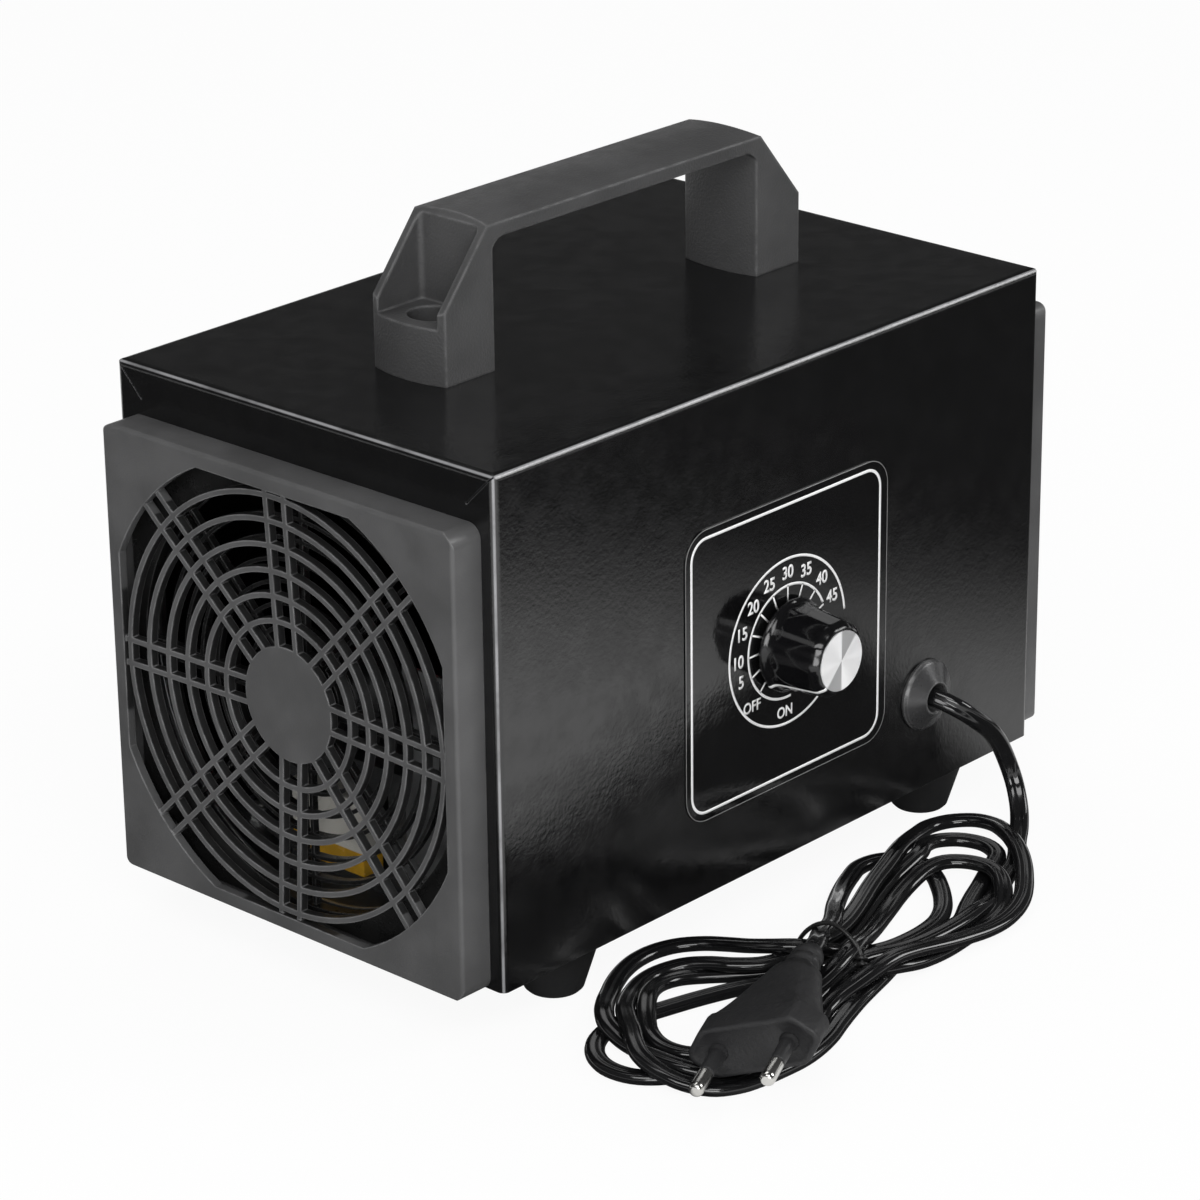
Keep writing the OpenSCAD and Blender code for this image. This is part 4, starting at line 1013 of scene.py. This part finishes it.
def turned(outline: Sequence[Flat], steps: int, closed: bool = False) -> Shape:
    """Turns an outline of radius and height round the Z axis.

    Args:
        outline: Points of radius and height in metres.
        steps: Steps of the full turn.
        closed: Whether the outline's ends join, as on a ring.

    Returns:
        The closed shape.
    """
    shape = bmesh.new()
    verts = [shape.verts.new((radius, 0.0, height)) for radius, height in outline]
    edges = [shape.edges.new(pair) for pair in zip(verts, verts[1:])]
    if closed:
        edges.append(shape.edges.new((verts[-1], verts[0])))
    bmesh.ops.spin(
        shape, geom=[*verts, *edges], cent=(0, 0, 0), axis=(0, 0, 1), angle=math.tau,
        steps=steps, use_merge=True,
    )
    bmesh.ops.remove_doubles(shape, verts=shape.verts, dist=MERGE)
    return shape


def facing(centre: Vector) -> Matrix:
    """Stands a flat drawing up on the control side, with its Z pointing out of the case."""
    stand = Matrix(((1, 0, 0, 0), (0, 0, -1, 0), (0, 1, 0, 0), (0, 0, 0, 1)))
    return Matrix.Translation(centre) @ stand


def compass(degrees: float) -> Vector:
    """The direction at an angle round the Z axis."""
    turn = math.radians(degrees)
    return Vector((math.cos(turn), math.sin(turn), 0))


# ---------------------------------------------------------------- dial and knob


@dataclass
class DialPrint(SubAssembly):
    """The white print on the label: frame line, two arcs, ticks, minutes, OFF and ON."""

    frame_size: Flat = (76.2 * MM, 76.9 * MM)
    frame_line: float = 0.8 * MM
    frame_corner: float = 6.0 * MM
    frame_shift: float = -0.45 * MM
    corner_steps: int = 8
    rim_line: float = 0.22 * MM
    rim_corner: float = 8.0 * MM
    rim_inset: float = 0.1 * MM
    rise: float = 0.6 * MM
    lift: float = 0.02 * MM
    outer: Point = (23.2 * MM, 5.0, 305.0)
    inner: Point = (15.7 * MM, 25.0, 275.0)
    arc_steps: int = 96
    line: float = 0.72 * MM
    tick_line: float = 0.54 * MM
    tick_length: float = 4.6 * MM
    number_ring: float = 19.4 * MM
    cap_height: float = 3.7 * MM
    word_height: float = 3.2 * MM
    word_rise: Flat = (0.5 * MM, 0.2 * MM)
    word_angle: Flat = (224.6, 267.0)
    boldness: float = 0.022
    letter_width: float = 0.92
    ink: float = 0.04 * MM
    step_angle: float = 22.5
    longest: int = 45
    minutes: int = 5
    last_number: float = 197.5

    def frame(self, shape: Shape, middle: Vector, size: Flat, line: float, corner: float) -> None:
        """Draws a rounded square line.

        Args:
            shape: The drawing, flat in X and Y.
            middle: Its middle, seen from the dial's centre.
            size: Width and height outside.
            line: Width of the line.
            corner: Radius of its corners outside.
        """
        made = bmesh.ops.create_grid(shape, x_segments=1, y_segments=1, size=0.5)["verts"]
        bmesh.ops.scale(shape, vec=(*size, 1.0), verts=made)
        bmesh.ops.translate(shape, vec=middle, verts=made)
        bmesh.ops.bevel(
            shape, geom=made, offset=corner, segments=self.corner_steps, profile=0.5,
            affect="VERTICES", material=-1,
        )
        shape.normal_update()
        inset = bmesh.ops.inset_region(
            shape, faces=list(shape.faces), thickness=line, use_boundary=True, use_even_offset=True
        )["faces"]
        inner = [face for face in shape.faces if face not in set(inset)]
        bmesh.ops.delete(shape, geom=inner, context="FACES")

    def arc(self, shape: Shape, radius: float, start: float, end: float) -> None:
        """Draws one arc.

        Args:
            shape: The drawing.
            radius: Radius of its middle line.
            start: Start angle in degrees.
            end: End angle in degrees.
        """
        turn = Matrix.Rotation(math.radians(start), 3, "Z")
        radii = [radius + side * self.line / 2 for side in (-1, 1)]
        ends = [shape.verts.new(turn @ Vector((reach, 0, 0))) for reach in radii]
        bmesh.ops.spin(
            shape, geom=[*ends, shape.edges.new(ends)], cent=(0, 0, 0), axis=(0, 0, 1),
            angle=math.radians(end - start), steps=self.arc_steps,
        )

    def tick(self, shape: Shape, angle: float) -> None:
        """Draws one tick from the inner arc towards the knob.

        Args:
            shape: The drawing.
            angle: Its angle in degrees.
        """
        made = bmesh.ops.create_grid(shape, x_segments=1, y_segments=1, size=0.5)["verts"]
        turn = Matrix.Rotation(math.radians(angle), 3, "Z")
        middle = self.inner[0] - self.tick_length / 2
        bmesh.ops.scale(shape, vec=(self.tick_length, self.tick_line, 1.0), verts=made)
        bmesh.ops.translate(shape, vec=(middle, 0, 0), verts=made)
        bmesh.ops.rotate(shape, cent=(0, 0, 0), matrix=turn, verts=made)

    def word(self, shape: Shape, text: str, angle: float, ring: float, height: float) -> None:
        """Writes a number or word upright on the ring of numbers.

        Args:
            shape: The drawing.
            text: What it says.
            angle: Its angle in degrees.
            ring: Radius of the ring.
            height: Height of a capital letter.
        """
        data = bpy.data.curves.new("print_" + text, "FONT")
        data.body, data.align_x, data.align_y = text, "CENTER", "CENTER"
        data.offset = self.boldness
        carrier = bpy.data.objects.new("print_" + text, data)
        mesh = bpy.data.meshes.new_from_object(carrier)
        bpy.data.objects.remove(carrier)
        spans = [[vert.co[axis] for vert in mesh.vertices] for axis in (0, 1)]
        centre = Vector([(max(span) + min(span)) / 2 for span in spans] + [0])
        scale = height / (max(spans[1]) - min(spans[1]))
        size = Matrix.Diagonal((scale * self.letter_width, scale, 1, 1))
        place = Matrix.Translation(compass(angle) * ring)
        mesh.transform(place @ size @ Matrix.Translation(-centre))
        shape.from_mesh(mesh)
        bpy.data.meshes.remove(mesh)

    def numbers(self, shape: Shape) -> None:
        """Draws the ticks with their minutes, then OFF and ON.

        Args:
            shape: The drawing.
        """
        count = self.longest // self.minutes
        for number in range(count):
            angle = self.step_angle * (number + 1)
            text = str(self.longest - self.minutes * number)
            self.tick(shape, angle)
            self.word(shape, text, min(angle, self.last_number), self.number_ring, self.cap_height)
        self.tick(shape, self.step_angle * (count + 1))
        for text, angle, rise in zip(("OFF", "ON"), self.word_angle, self.word_rise):
            self.word(shape, text, angle, self.number_ring + rise, self.word_height)

    def press(self, shape: Shape, dial: Vector, name: str, slot: str) -> None:
        """Gives a flat drawing its ink thickness and puts it on the label.

        Args:
            shape: The drawing, flat in X and Y.
            dial: Where its origin goes.
            name: Name of the piece.
            slot: Its finish.
        """
        bmesh.ops.remove_doubles(shape, verts=shape.verts, dist=MERGE)
        for face in shape.faces:
            if face.normal.z < 0:
                face.normal_flip()
        drawn = list(shape.faces)
        made = bmesh.ops.extrude_face_region(shape, geom=drawn, use_keep_orig=True)["geom"]
        bmesh.ops.translate(shape, vec=(0, 0, self.ink), verts=fresh(made, Vert))
        self.finish(shape, name, slot, record_slot="label_film", place=facing(dial))

    def build(self) -> None:
        """Prints the dial on the label and draws the label's cut edge."""
        low, high = (Vector(corner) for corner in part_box("label_plate"))
        dial = Vector((KNOB_AXIS[0], low.y - self.lift, KNOB_AXIS[2] + self.rise))
        middle = Vector(((low.x + high.x) / 2 - dial.x, (low.z + high.z) / 2 - dial.z, 0))
        shape = bmesh.new()
        moved = middle + Vector((self.frame_shift, 0, 0))
        self.frame(shape, moved, self.frame_size, self.frame_line, self.frame_corner)
        self.arc(shape, *self.outer)
        self.arc(shape, *self.inner)
        self.numbers(shape)
        self.press(shape, dial, "dial_print", "print_white")
        shape = bmesh.new()
        rim = (high.x - low.x - self.rim_inset, high.z - low.z - self.rim_inset)
        self.frame(shape, middle, rim, self.rim_line, self.rim_corner)
        self.press(shape, dial, "label_rim", "film_edge")


@dataclass
class TimerKnob(SubAssembly):
    """The scalloped timer knob and its white pointer."""

    outline_mm: tuple[Flat, ...] = (
        (4.65, 0.0), (12.2, 0.0), (12.8, 0.6), (12.8, 1.5), (11.9, 2.3), (11.6, 3.4), (10.4, 15.7),
        (9.0, 17.55), (8.25, 17.6), (8.25, 16.85), (4.65, 16.85), (4.65, 8.0),
    )
    pointer_mm: tuple[Flat, ...] = (
        (12.8, 0.9), (12.8, 1.5), (11.9, 2.3), (11.6, 3.4), (10.4, 15.7), (9.0, 17.55),
        (8.35, 17.6),
    )
    softening: float = 0.7 * MM
    turn_steps: int = 180
    wall_from: float = 8.4 * MM
    flutes: int = 10
    flute_depth: float = 0.3 * MM
    flute_from: float = 2.6 * MM
    flute_fade: float = 1.6 * MM
    pointer_angle: float = 225.0
    pointer_width: float = 1.1 * MM
    pointer_lift: Flat = (0.06 * MM, 0.01 * MM)
    pointer_ink: float = 0.05 * MM
    pointer_steps: int = 3

    def inset(self, angle: float, height: float) -> float:
        """How far the scallops cut in at an angle in radians and a height above the back."""
        share = min(1.0, max(0.0, (height - self.flute_from) / self.flute_fade))
        return self.flute_depth * share * (0.5 - 0.5 * math.cos(self.flutes * angle))

    def scallop(self, shape: Shape) -> None:
        """Pulls the outer wall in along the flutes.

        Args:
            shape: The turned knob.
        """
        for vert in shape.verts:
            radius = math.hypot(vert.co.x, vert.co.y)
            if radius > self.wall_from:
                depth = self.inset(math.atan2(vert.co.y, vert.co.x), vert.co.z)
                vert.co.xy = vert.co.xy * ((radius - depth) / radius)

    def pointer(self, place: Matrix) -> None:
        """Draws the line that points at the dial.

        Args:
            place: Where the knob stands.
        """
        shape = bmesh.new()
        out, across = (compass(self.pointer_angle + turn) for turn in (0.0, 90.0))
        across *= self.pointer_width / 2
        beyond, above = self.pointer_lift
        edges: list[Edge] = []
        line = softened(in_metres(self.pointer_mm), self.softening, self.pointer_steps)
        for radius, height in line:
            reach = radius - self.inset(math.radians(self.pointer_angle), height) + beyond
            spot = out * reach + Vector((0, 0, height + above))
            if not edges:
                ends = [shape.verts.new(spot - across), shape.verts.new(spot + across)]
                edges = [shape.edges.new(ends)]
                continue
            made = bmesh.ops.extrude_edge_only(shape, edges=edges)["geom"]
            ends = sorted(fresh(made, Vert), key=lambda v: v.co.dot(across))
            ends[0].co, ends[1].co = spot - across, spot + across
            edges = loose_edges(made)
        bmesh.ops.recalc_face_normals(shape, faces=shape.faces)
        if sum(face.normal.dot(out) for face in shape.faces) < 0:
            bmesh.ops.reverse_faces(shape, faces=shape.faces)
        bmesh.ops.solidify(shape, geom=list(shape.faces), thickness=-self.pointer_ink)
        self.finish(shape, "knob_pointer", "print_white", Body.KNOB, "knob_plastic", place)

    def build(self) -> None:
        """Makes the knob and its pointer."""
        base = Vector((KNOB_AXIS[0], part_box("knob_body")[1][1], KNOB_AXIS[2]))
        place = facing(base)
        outline = softened(in_metres(self.outline_mm), self.softening)
        shape = turned(outline, self.turn_steps, True)
        self.scallop(shape)
        knob = self.finish(shape, "timer_knob", "knob_plastic", Body.KNOB, place=place)
        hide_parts("knob_body")
        self.pointer(place)


# ---------------------------------------------------------------- plug and tie


@dataclass
class MainsPlug(SubAssembly):
    """The moulded two-pin plug: chamfered front, tapering body, ribbed relief and pins."""

    face_mm: Point = (-86.8, -131.6, 13.6)
    yaw: float = 203.6
    pitch: float = 3.0
    roll: float = 18.5
    corners_mm: tuple[Flat, Flat] = ((17.65, 1.2), (12.4, 6.85))
    corner_radius_mm: float = 1.3
    front_length: float = 9.0 * MM
    front_from_face: tuple[Flat, ...] = ((0.0, 0.965), (0.25 * MM, 0.99), (0.7 * MM, 1.0))
    front_to_body: tuple[Flat, ...] = (
        (-0.7 * MM, 1.0), (-0.2 * MM, 0.99), (0.0, 0.97), (0.05 * MM, 0.94), (0.8 * MM, 0.935),
    )
    body_length: float = 35.0 * MM
    body_steps: int = 12
    body_taper: float = 0.82
    body_end: Flat = (7.5 * MM, 5.4 * MM)
    relief_mm: tuple[Flat, ...] = (
        (5.2, 0.0), (5.0, 3.4), (4.2, 3.6), (4.1, 5.2), (4.85, 5.4), (4.75, 7.6), (3.9, 7.8),
        (3.7, 9.4), (4.45, 9.6), (4.35, 11.8), (3.6, 12.0), (3.4, 14.0),
    )
    relief_gap: float = 0.05 * MM
    relief_flatness: float = 0.86
    rim: float = 1.1 * MM
    recess: Flat = (0.25 * MM, -0.35 * MM)
    pin_pitch: float = 19.0 * MM
    pin_steps: int = 40
    sleeve_mm: tuple[Flat, ...] = ((0, -0.3), (2.62, -0.3), (2.02, 0.9), (1.92, 10.0), (0, 10.0))
    sleeve_softening: float = 0.3 * MM
    tip_mm: tuple[Flat, ...] = ((0, 10.02), (2.0, 10.02), (2.0, 17.8), (1.44, 18.8), (0, 19.0))
    tip_softening: float = 0.9 * MM
    tip_steps: int = 6
    points: int = 64

    def place(self) -> Matrix:
        """Where the plug lies.

        Returns:
            The placement of its own frame, with the face at 0 and the pins along Z.
        """
        turns = ((self.yaw, "Z"), (self.pitch, "Y"), (self.roll, "X"), (90.0, "Z"), (90.0, "X"))
        out = Matrix.Translation(from_case([self.face_mm])[0])
        for angle, axis in turns:
            out = out @ Matrix.Rotation(math.radians(angle), 4, axis)
        return out

    def outline(self, share: float, scale: float) -> list[Flat]:
        """The plug's cross-section between its chamfered front and its oval end.

        Args:
            share: 0 for the front's outline, 1 for the oval.
            scale: Scale of the front's outline.

        Returns:
            Points of the closed outline.
        """
        (wide, low), (narrow, high) = self.corners_mm
        half = [(wide, low), (narrow, high), (-narrow, high), (-wide, low)]
        loop = [(wide, 0.0), *half, *[(-x, -y) for x, y in half], (wide, 0.0)]
        ring = softened(loop, self.corner_radius_mm)
        spots = [Vector((x * MM * scale, y * MM * scale, 0)) for x, y in ring]
        out = []
        for spot in spaced(spots, self.points):
            angle = math.atan2(spot.y / high, spot.x / wide)
            across, up = self.body_end
            oval = Vector((across * math.cos(angle), up * math.sin(angle), 0))
            out.append(spot.lerp(oval, share).to_tuple()[:2])
        return out

    def sections(self) -> list[tuple[float, list[Flat]]]:
        """The outlines from the front face back to the relief's end.

        Returns:
            Depth behind the face and outline, in order.
        """
        back = [(self.front_length + depth, scale) for depth, scale in self.front_to_body]
        out = [(depth, self.outline(0.0, scale)) for depth, scale in (*self.front_from_face, *back)]
        start, scale = back[-1]
        for k in range(1, self.body_steps + 1):
            t = k / self.body_steps
            depth = start + (self.body_length - start) * t
            out.append((depth, self.outline(t ** self.body_taper, scale)))
        across, up = self.body_end
        for radius, depth in in_metres(self.relief_mm):
            sizes = (radius / across, radius / up * self.relief_flatness)
            ring = [(u * sizes[0], v * sizes[1]) for u, v in self.outline(1.0, 1.0)]
            out.append((self.body_length + depth + self.relief_gap, ring))
        return out

    def body(self) -> Piece:
        """Makes the moulded body.

        Returns:
            The body.
        """
        shape = bmesh.new()
        cuts = self.sections()
        line = [Vector((0, 0, -depth)) for depth, _ in cuts]
        rings = sweep(shape, line, [Vector((1, 0, 0))] * len(line), lambda index: cuts[index][1])
        front = next(face for face in shape.faces if set(face.verts) == set(rings[0]))
        for width, depth in ((self.rim, 0.0), self.recess):
            bmesh.ops.inset_region(shape, faces=[front], thickness=width, depth=depth)
        plug = self.finish(shape, "mains_plug", "plug_pvc", place=self.place())
        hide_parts("plug_body")
        return plug

    def pair(self, outline: Sequence[Flat], name: str, slot: str) -> Piece:
        """Turns one piece of a pin and sets it on both pins.

        Args:
            outline: Radius and height from the plug's face.
            name: Name of the piece.
            slot: Its finish.

        Returns:
            The pair.
        """
        shape = turned(outline, self.pin_steps)
        bmesh.ops.translate(shape, vec=(self.pin_pitch / 2, 0, 0), verts=shape.verts)
        whole = [*shape.verts, *shape.edges, *shape.faces]
        bmesh.ops.mirror(shape, geom=whole, axis="X", merge_dist=0.0)
        return self.finish(shape, name, slot, place=self.place())

    def build(self) -> list[Piece]:
        """Makes the plug with its sleeves and tips.

        Returns:
            The pieces.
        """
        bush = softened(in_metres(self.sleeve_mm), self.sleeve_softening)
        tip = softened(in_metres(self.tip_mm), self.tip_softening, self.tip_steps)
        sleeves = self.pair(bush, "pin_sleeves", "plug_pvc")
        tips = self.pair(tip, "pin_tips", "pin_nickel")
        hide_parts("plug_pins")
        return [self.body(), sleeves, tips]


@dataclass
class TwistTie(SubAssembly):
    """The plastic-covered wire that holds the cord's bundle, its ends twisted together."""

    loop_mm: tuple[Point, ...] = (
        (-24.0, -114.9, 4.4), (-23.7, -114.4, 2.2), (-23.4, -111.5, 0.75), (-23.0, -104.0, 0.7),
        (-22.4, -97.0, 0.75), (-22.2, -92.9, 1.7), (-23.4, -92.4, 4.4), (-25.0, -94.6, 8.2),
        (-24.6, -96.8, 11.2), (-24.0, -99.8, 13.6), (-22.9, -102.8, 14.4), (-22.5, -106.1, 13.7),
        (-22.3, -109.6, 11.7), (-22.4, -112.2, 9.2), (-23.1, -113.8, 7.0), (-23.8, -115.0, 5.0),
        (-25.2, -116.4, 4.0), (-28.4, -118.4, 2.6), (-32.1, -120.2, 1.0),
    )
    knot_mm: tuple[Point, ...] = ((-22.7, -113.0, 7.9), (-24.9, -116.2, 3.5))
    wire: float = 0.62 * MM
    wire_points: int = 10
    step: float = 0.7 * MM
    turns: float = 3.5
    coil_steps: int = 60
    coil_width: float = 1.9

    def tube(self, shape: Shape, line: Sequence[Vector]) -> None:
        """Draws the round wire along a line.

        Args:
            shape: The mesh that grows.
            line: The wire's centres.
        """
        sides: list[Vector] = [Vector((1, 0, 0))]
        for a, b in zip(line, line[1:]):
            ahead = (b - a).normalized()
            sides.append((sides[-1] - ahead * sides[-1].dot(ahead)).normalized())
        turns = [math.tau * k / self.wire_points for k in range(self.wire_points)]
        ring = [(self.wire * math.cos(turn), self.wire * math.sin(turn)) for turn in turns]
        sweep(shape, line, sides, lambda index: ring)

    def coil(self) -> list[Vector]:
        """The centres of the twisted ends.

        Returns:
            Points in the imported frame.
        """
        start, end = from_case(self.knot_mm)
        ahead = (end - start).normalized()
        side = ahead.cross(Vector((0, 0, 1))).normalized()
        up = side.cross(ahead)
        out = []
        for k in range(self.coil_steps + 1):
            t = k / self.coil_steps
            angle = math.tau * self.turns * t
            around = side * math.cos(angle) + up * math.sin(angle)
            out.append(start.lerp(end, t) + around * self.wire * self.coil_width)
        return out

    def build(self) -> None:
        """Makes the tie."""
        shape = bmesh.new()
        self.tube(shape, along(from_case(self.loop_mm), self.step))
        self.tube(shape, self.coil())
        tie = self.finish(shape, "wire_tie", "tie_plastic")
        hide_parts("cord_tie")


# ---------------------------------------------------------------- studio


@dataclass(frozen=True)
class Lamp:
    """A soft lamp: place, power in watts and size in metres, aimed at the unit."""

    name: str
    place: Point
    power: float
    size: Flat


@dataclass
class Studio:
    """Camera, floor, soft lamps and a white surround."""

    camera_place: Point = (-0.8240, -0.7535, 0.5242)
    azimuth: float = 47.301
    elevation: float = 22.031
    roll: float = -0.679
    lens: float = 134.311
    sensor: float = 36.0
    clip: Flat = (0.05, 50.0)
    surround: float = 0.45
    ceiling: float = 0.055
    ceiling_band: Flat = (0.02, 0.16)
    floor_half: float = 6.0
    floor_colors: tuple[Rgb, Rgb] = ((0.88, 0.88, 0.88), (0.9, 0.9, 0.9))
    floor_roughness: float = 0.9
    floor_cloud: float = 0.4
    floor_glow: float = 0.93
    floor_mirrored: float = 0.05
    floor_masks: tuple[tuple[Point, Flat], ...] = (
        ((0.8, -0.5, 0.0), (0.14, 0.3)),
        ((0.22, 1.0, 0.0), (-0.15, -0.136)),
        ((-1.0, -0.6, 0.0), (-0.08, -0.05)),
    )
    aim: Point = (0.0, 0.0, 0.08)
    lamps: tuple[Lamp, ...] = (
        Lamp("key", (-0.9, -0.75, 1.25), 11.0, (1.4, 0.6)),
        Lamp("side", (1.16, -0.96, 0.92), 6.0, (0.6, 0.6)),
        Lamp("front", (-1.0, -1.15, 0.42), 7.0, (0.8, 0.5)),
        Lamp("top", (0.1, 0.5, 1.5), 4.0, (1.0, 0.6)),
    )

    def set_camera(self) -> None:
        """Places the camera."""
        az, el, roll = (math.radians(a) for a in (self.azimuth, self.elevation, self.roll))
        level = (math.sin(az) * math.cos(el), math.cos(az) * math.cos(el), -math.sin(el))
        ahead = Vector(level)
        right = ahead.cross(Vector((0, 0, 1))).normalized()
        up = right.cross(ahead)
        across = right * math.cos(roll) + up * math.sin(roll)
        upward = up * math.cos(roll) - right * math.sin(roll)
        data = bpy.data.cameras.new("camera")
        data.lens, data.sensor_width = self.lens, self.sensor
        data.clip_start, data.clip_end = self.clip
        camera = bpy.data.objects.new("camera", data)
        turn = Matrix((across, upward, -ahead)).transposed()
        camera.matrix_world = Matrix.Translation(self.camera_place) @ turn.to_4x4()
        bpy.context.scene.collection.objects.link(camera)
        bpy.context.scene.camera = camera

    def set_world(self) -> None:
        """Makes the surround white to look at, dimmer as a light, and dim where it is mirrored.

        The mirrored part fades from full brightness at the horizon to the ceiling's.
        """
        world = bpy.data.worlds.new("surround")
        world.use_nodes = True
        nodes = Nodes(world.node_tree)
        path = nodes.add("LightPath").outputs
        way = nodes.add("TexCoord").outputs["Generated"]
        rise = nodes.add("SeparateXYZ", {0: way}).outputs["Z"]
        low, high = self.ceiling_band
        fade = {"Value": rise, "From Min": low, "From Max": high, "To Min": 1.0,
                "To Max": self.ceiling}
        mirrored = nodes.add("MapRange", fade).outputs["Result"]
        glossy = {0: path["Is Glossy Ray"], 2: self.surround, 3: mirrored}
        clear = nodes.sums("MAXIMUM", path["Is Camera Ray"], path["Is Transmission Ray"])
        seen = {0: clear, 2: nodes.add("Mix", glossy).outputs[0], 3: 1.0}
        background = nodes.tree.nodes["Background"].inputs
        nodes.feed(background["Color"], (1.0, 1.0, 1.0))
        nodes.feed(background["Strength"], nodes.add("Mix", seen).outputs[0])
        bpy.context.scene.world = world

    def floor_paint(self) -> bpy.types.Material:
        """Makes the floor's paint: white to look at, shadowed by the unit, dim where mirrored.

        Returns:
            The material.
        """
        recipe = Recipe("floor_white")
        shader = recipe.shader
        recipe.feed(shader.inputs["Base Color"],
                    recipe.blend(recipe.noise(self.floor_cloud), *self.floor_colors))
        shader.inputs["Roughness"].default_value = self.floor_roughness
        shader.inputs["Specular IOR Level"].default_value = 0.0
        path = recipe.add("LightPath").outputs
        clear = recipe.sums("MAXIMUM", path["Is Camera Ray"], path["Is Transmission Ray"])
        far, near, beside = (
            recipe.span(recipe.vector("DOT_PRODUCT", recipe.place, way)["Value"], band)
            for way, band in self.floor_masks
        )
        faded = recipe.sums("MAXIMUM", far, recipe.sums("MULTIPLY", near, beside))
        strength = recipe.sums("MAXIMUM", clear, self.floor_mirrored)
        glow = recipe.add("Emission", {"Color": (1.0, 1.0, 1.0), "Strength": strength}).outputs[0]
        seen = recipe.sums("MULTIPLY", clear, self.floor_glow)
        mirrored = recipe.sums("MULTIPLY", path["Is Glossy Ray"], faded)
        parts = {0: recipe.sums("MAXIMUM", seen, mirrored), 1: shader.outputs[0], 2: glow}
        mixed = recipe.add("MixShader", parts).outputs[0]
        recipe.feed(recipe.tree.nodes["Material Output"].inputs["Surface"], mixed)
        return recipe.material

    def set_floor(self) -> None:
        """Lays a pale floor that stays white and keeps soft shadows."""
        shape = bmesh.new()
        bmesh.ops.create_grid(shape, x_segments=1, y_segments=1, size=self.floor_half)
        mesh = bpy.data.meshes.new("floor")
        shape.to_mesh(mesh)
        shape.free()
        floor = bpy.data.objects.new("floor", mesh)
        bpy.context.scene.collection.objects.link(floor)
        mesh.materials.append(self.floor_paint())
        floor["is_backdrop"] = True

    def set_lamps(self) -> None:
        """Hangs the soft lamps."""
        for lamp in self.lamps:
            data = bpy.data.lights.new(lamp.name, "AREA")
            data.shape, data.energy = "RECTANGLE", lamp.power
            data.size, data.size_y = lamp.size
            light = bpy.data.objects.new(lamp.name, data)
            place = Vector(lamp.place)
            turn = (Vector(self.aim) - place).to_track_quat("-Z", "Y")
            light.matrix_world = Matrix.Translation(place) @ turn.to_matrix().to_4x4()
            bpy.context.scene.collection.objects.link(light)

    def build(self) -> None:
        """Sets up everything round the unit."""
        bpy.context.scene.view_settings.view_transform = "Standard"
        self.set_camera()
        self.set_world()
        self.set_floor()
        self.set_lamps()


def corners(box: Iterable[Iterable[float]]) -> list[list[float]]:
    """A box's lowest and highest corner as plain lists of numbers."""
    return [[float(value) for value in corner] for corner in box]


def main() -> None:
    """Builds the unit's looks in order."""
    logging.basicConfig(level=logging.INFO, format="%(name)s: %(message)s")
    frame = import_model()
    cad_box = corners(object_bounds())
    Studio().build()
    shop = PaintShop()
    shop.paint_frame(frame)
    MainsCord(shop).build(MainsPlug(shop).build())
    TwistTie(shop).build()
    DialPrint(shop).build()
    TimerKnob(shop).build()
    {"cad": cad_box, "visual": corners(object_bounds())}


if __name__ == "__main__":
    main()
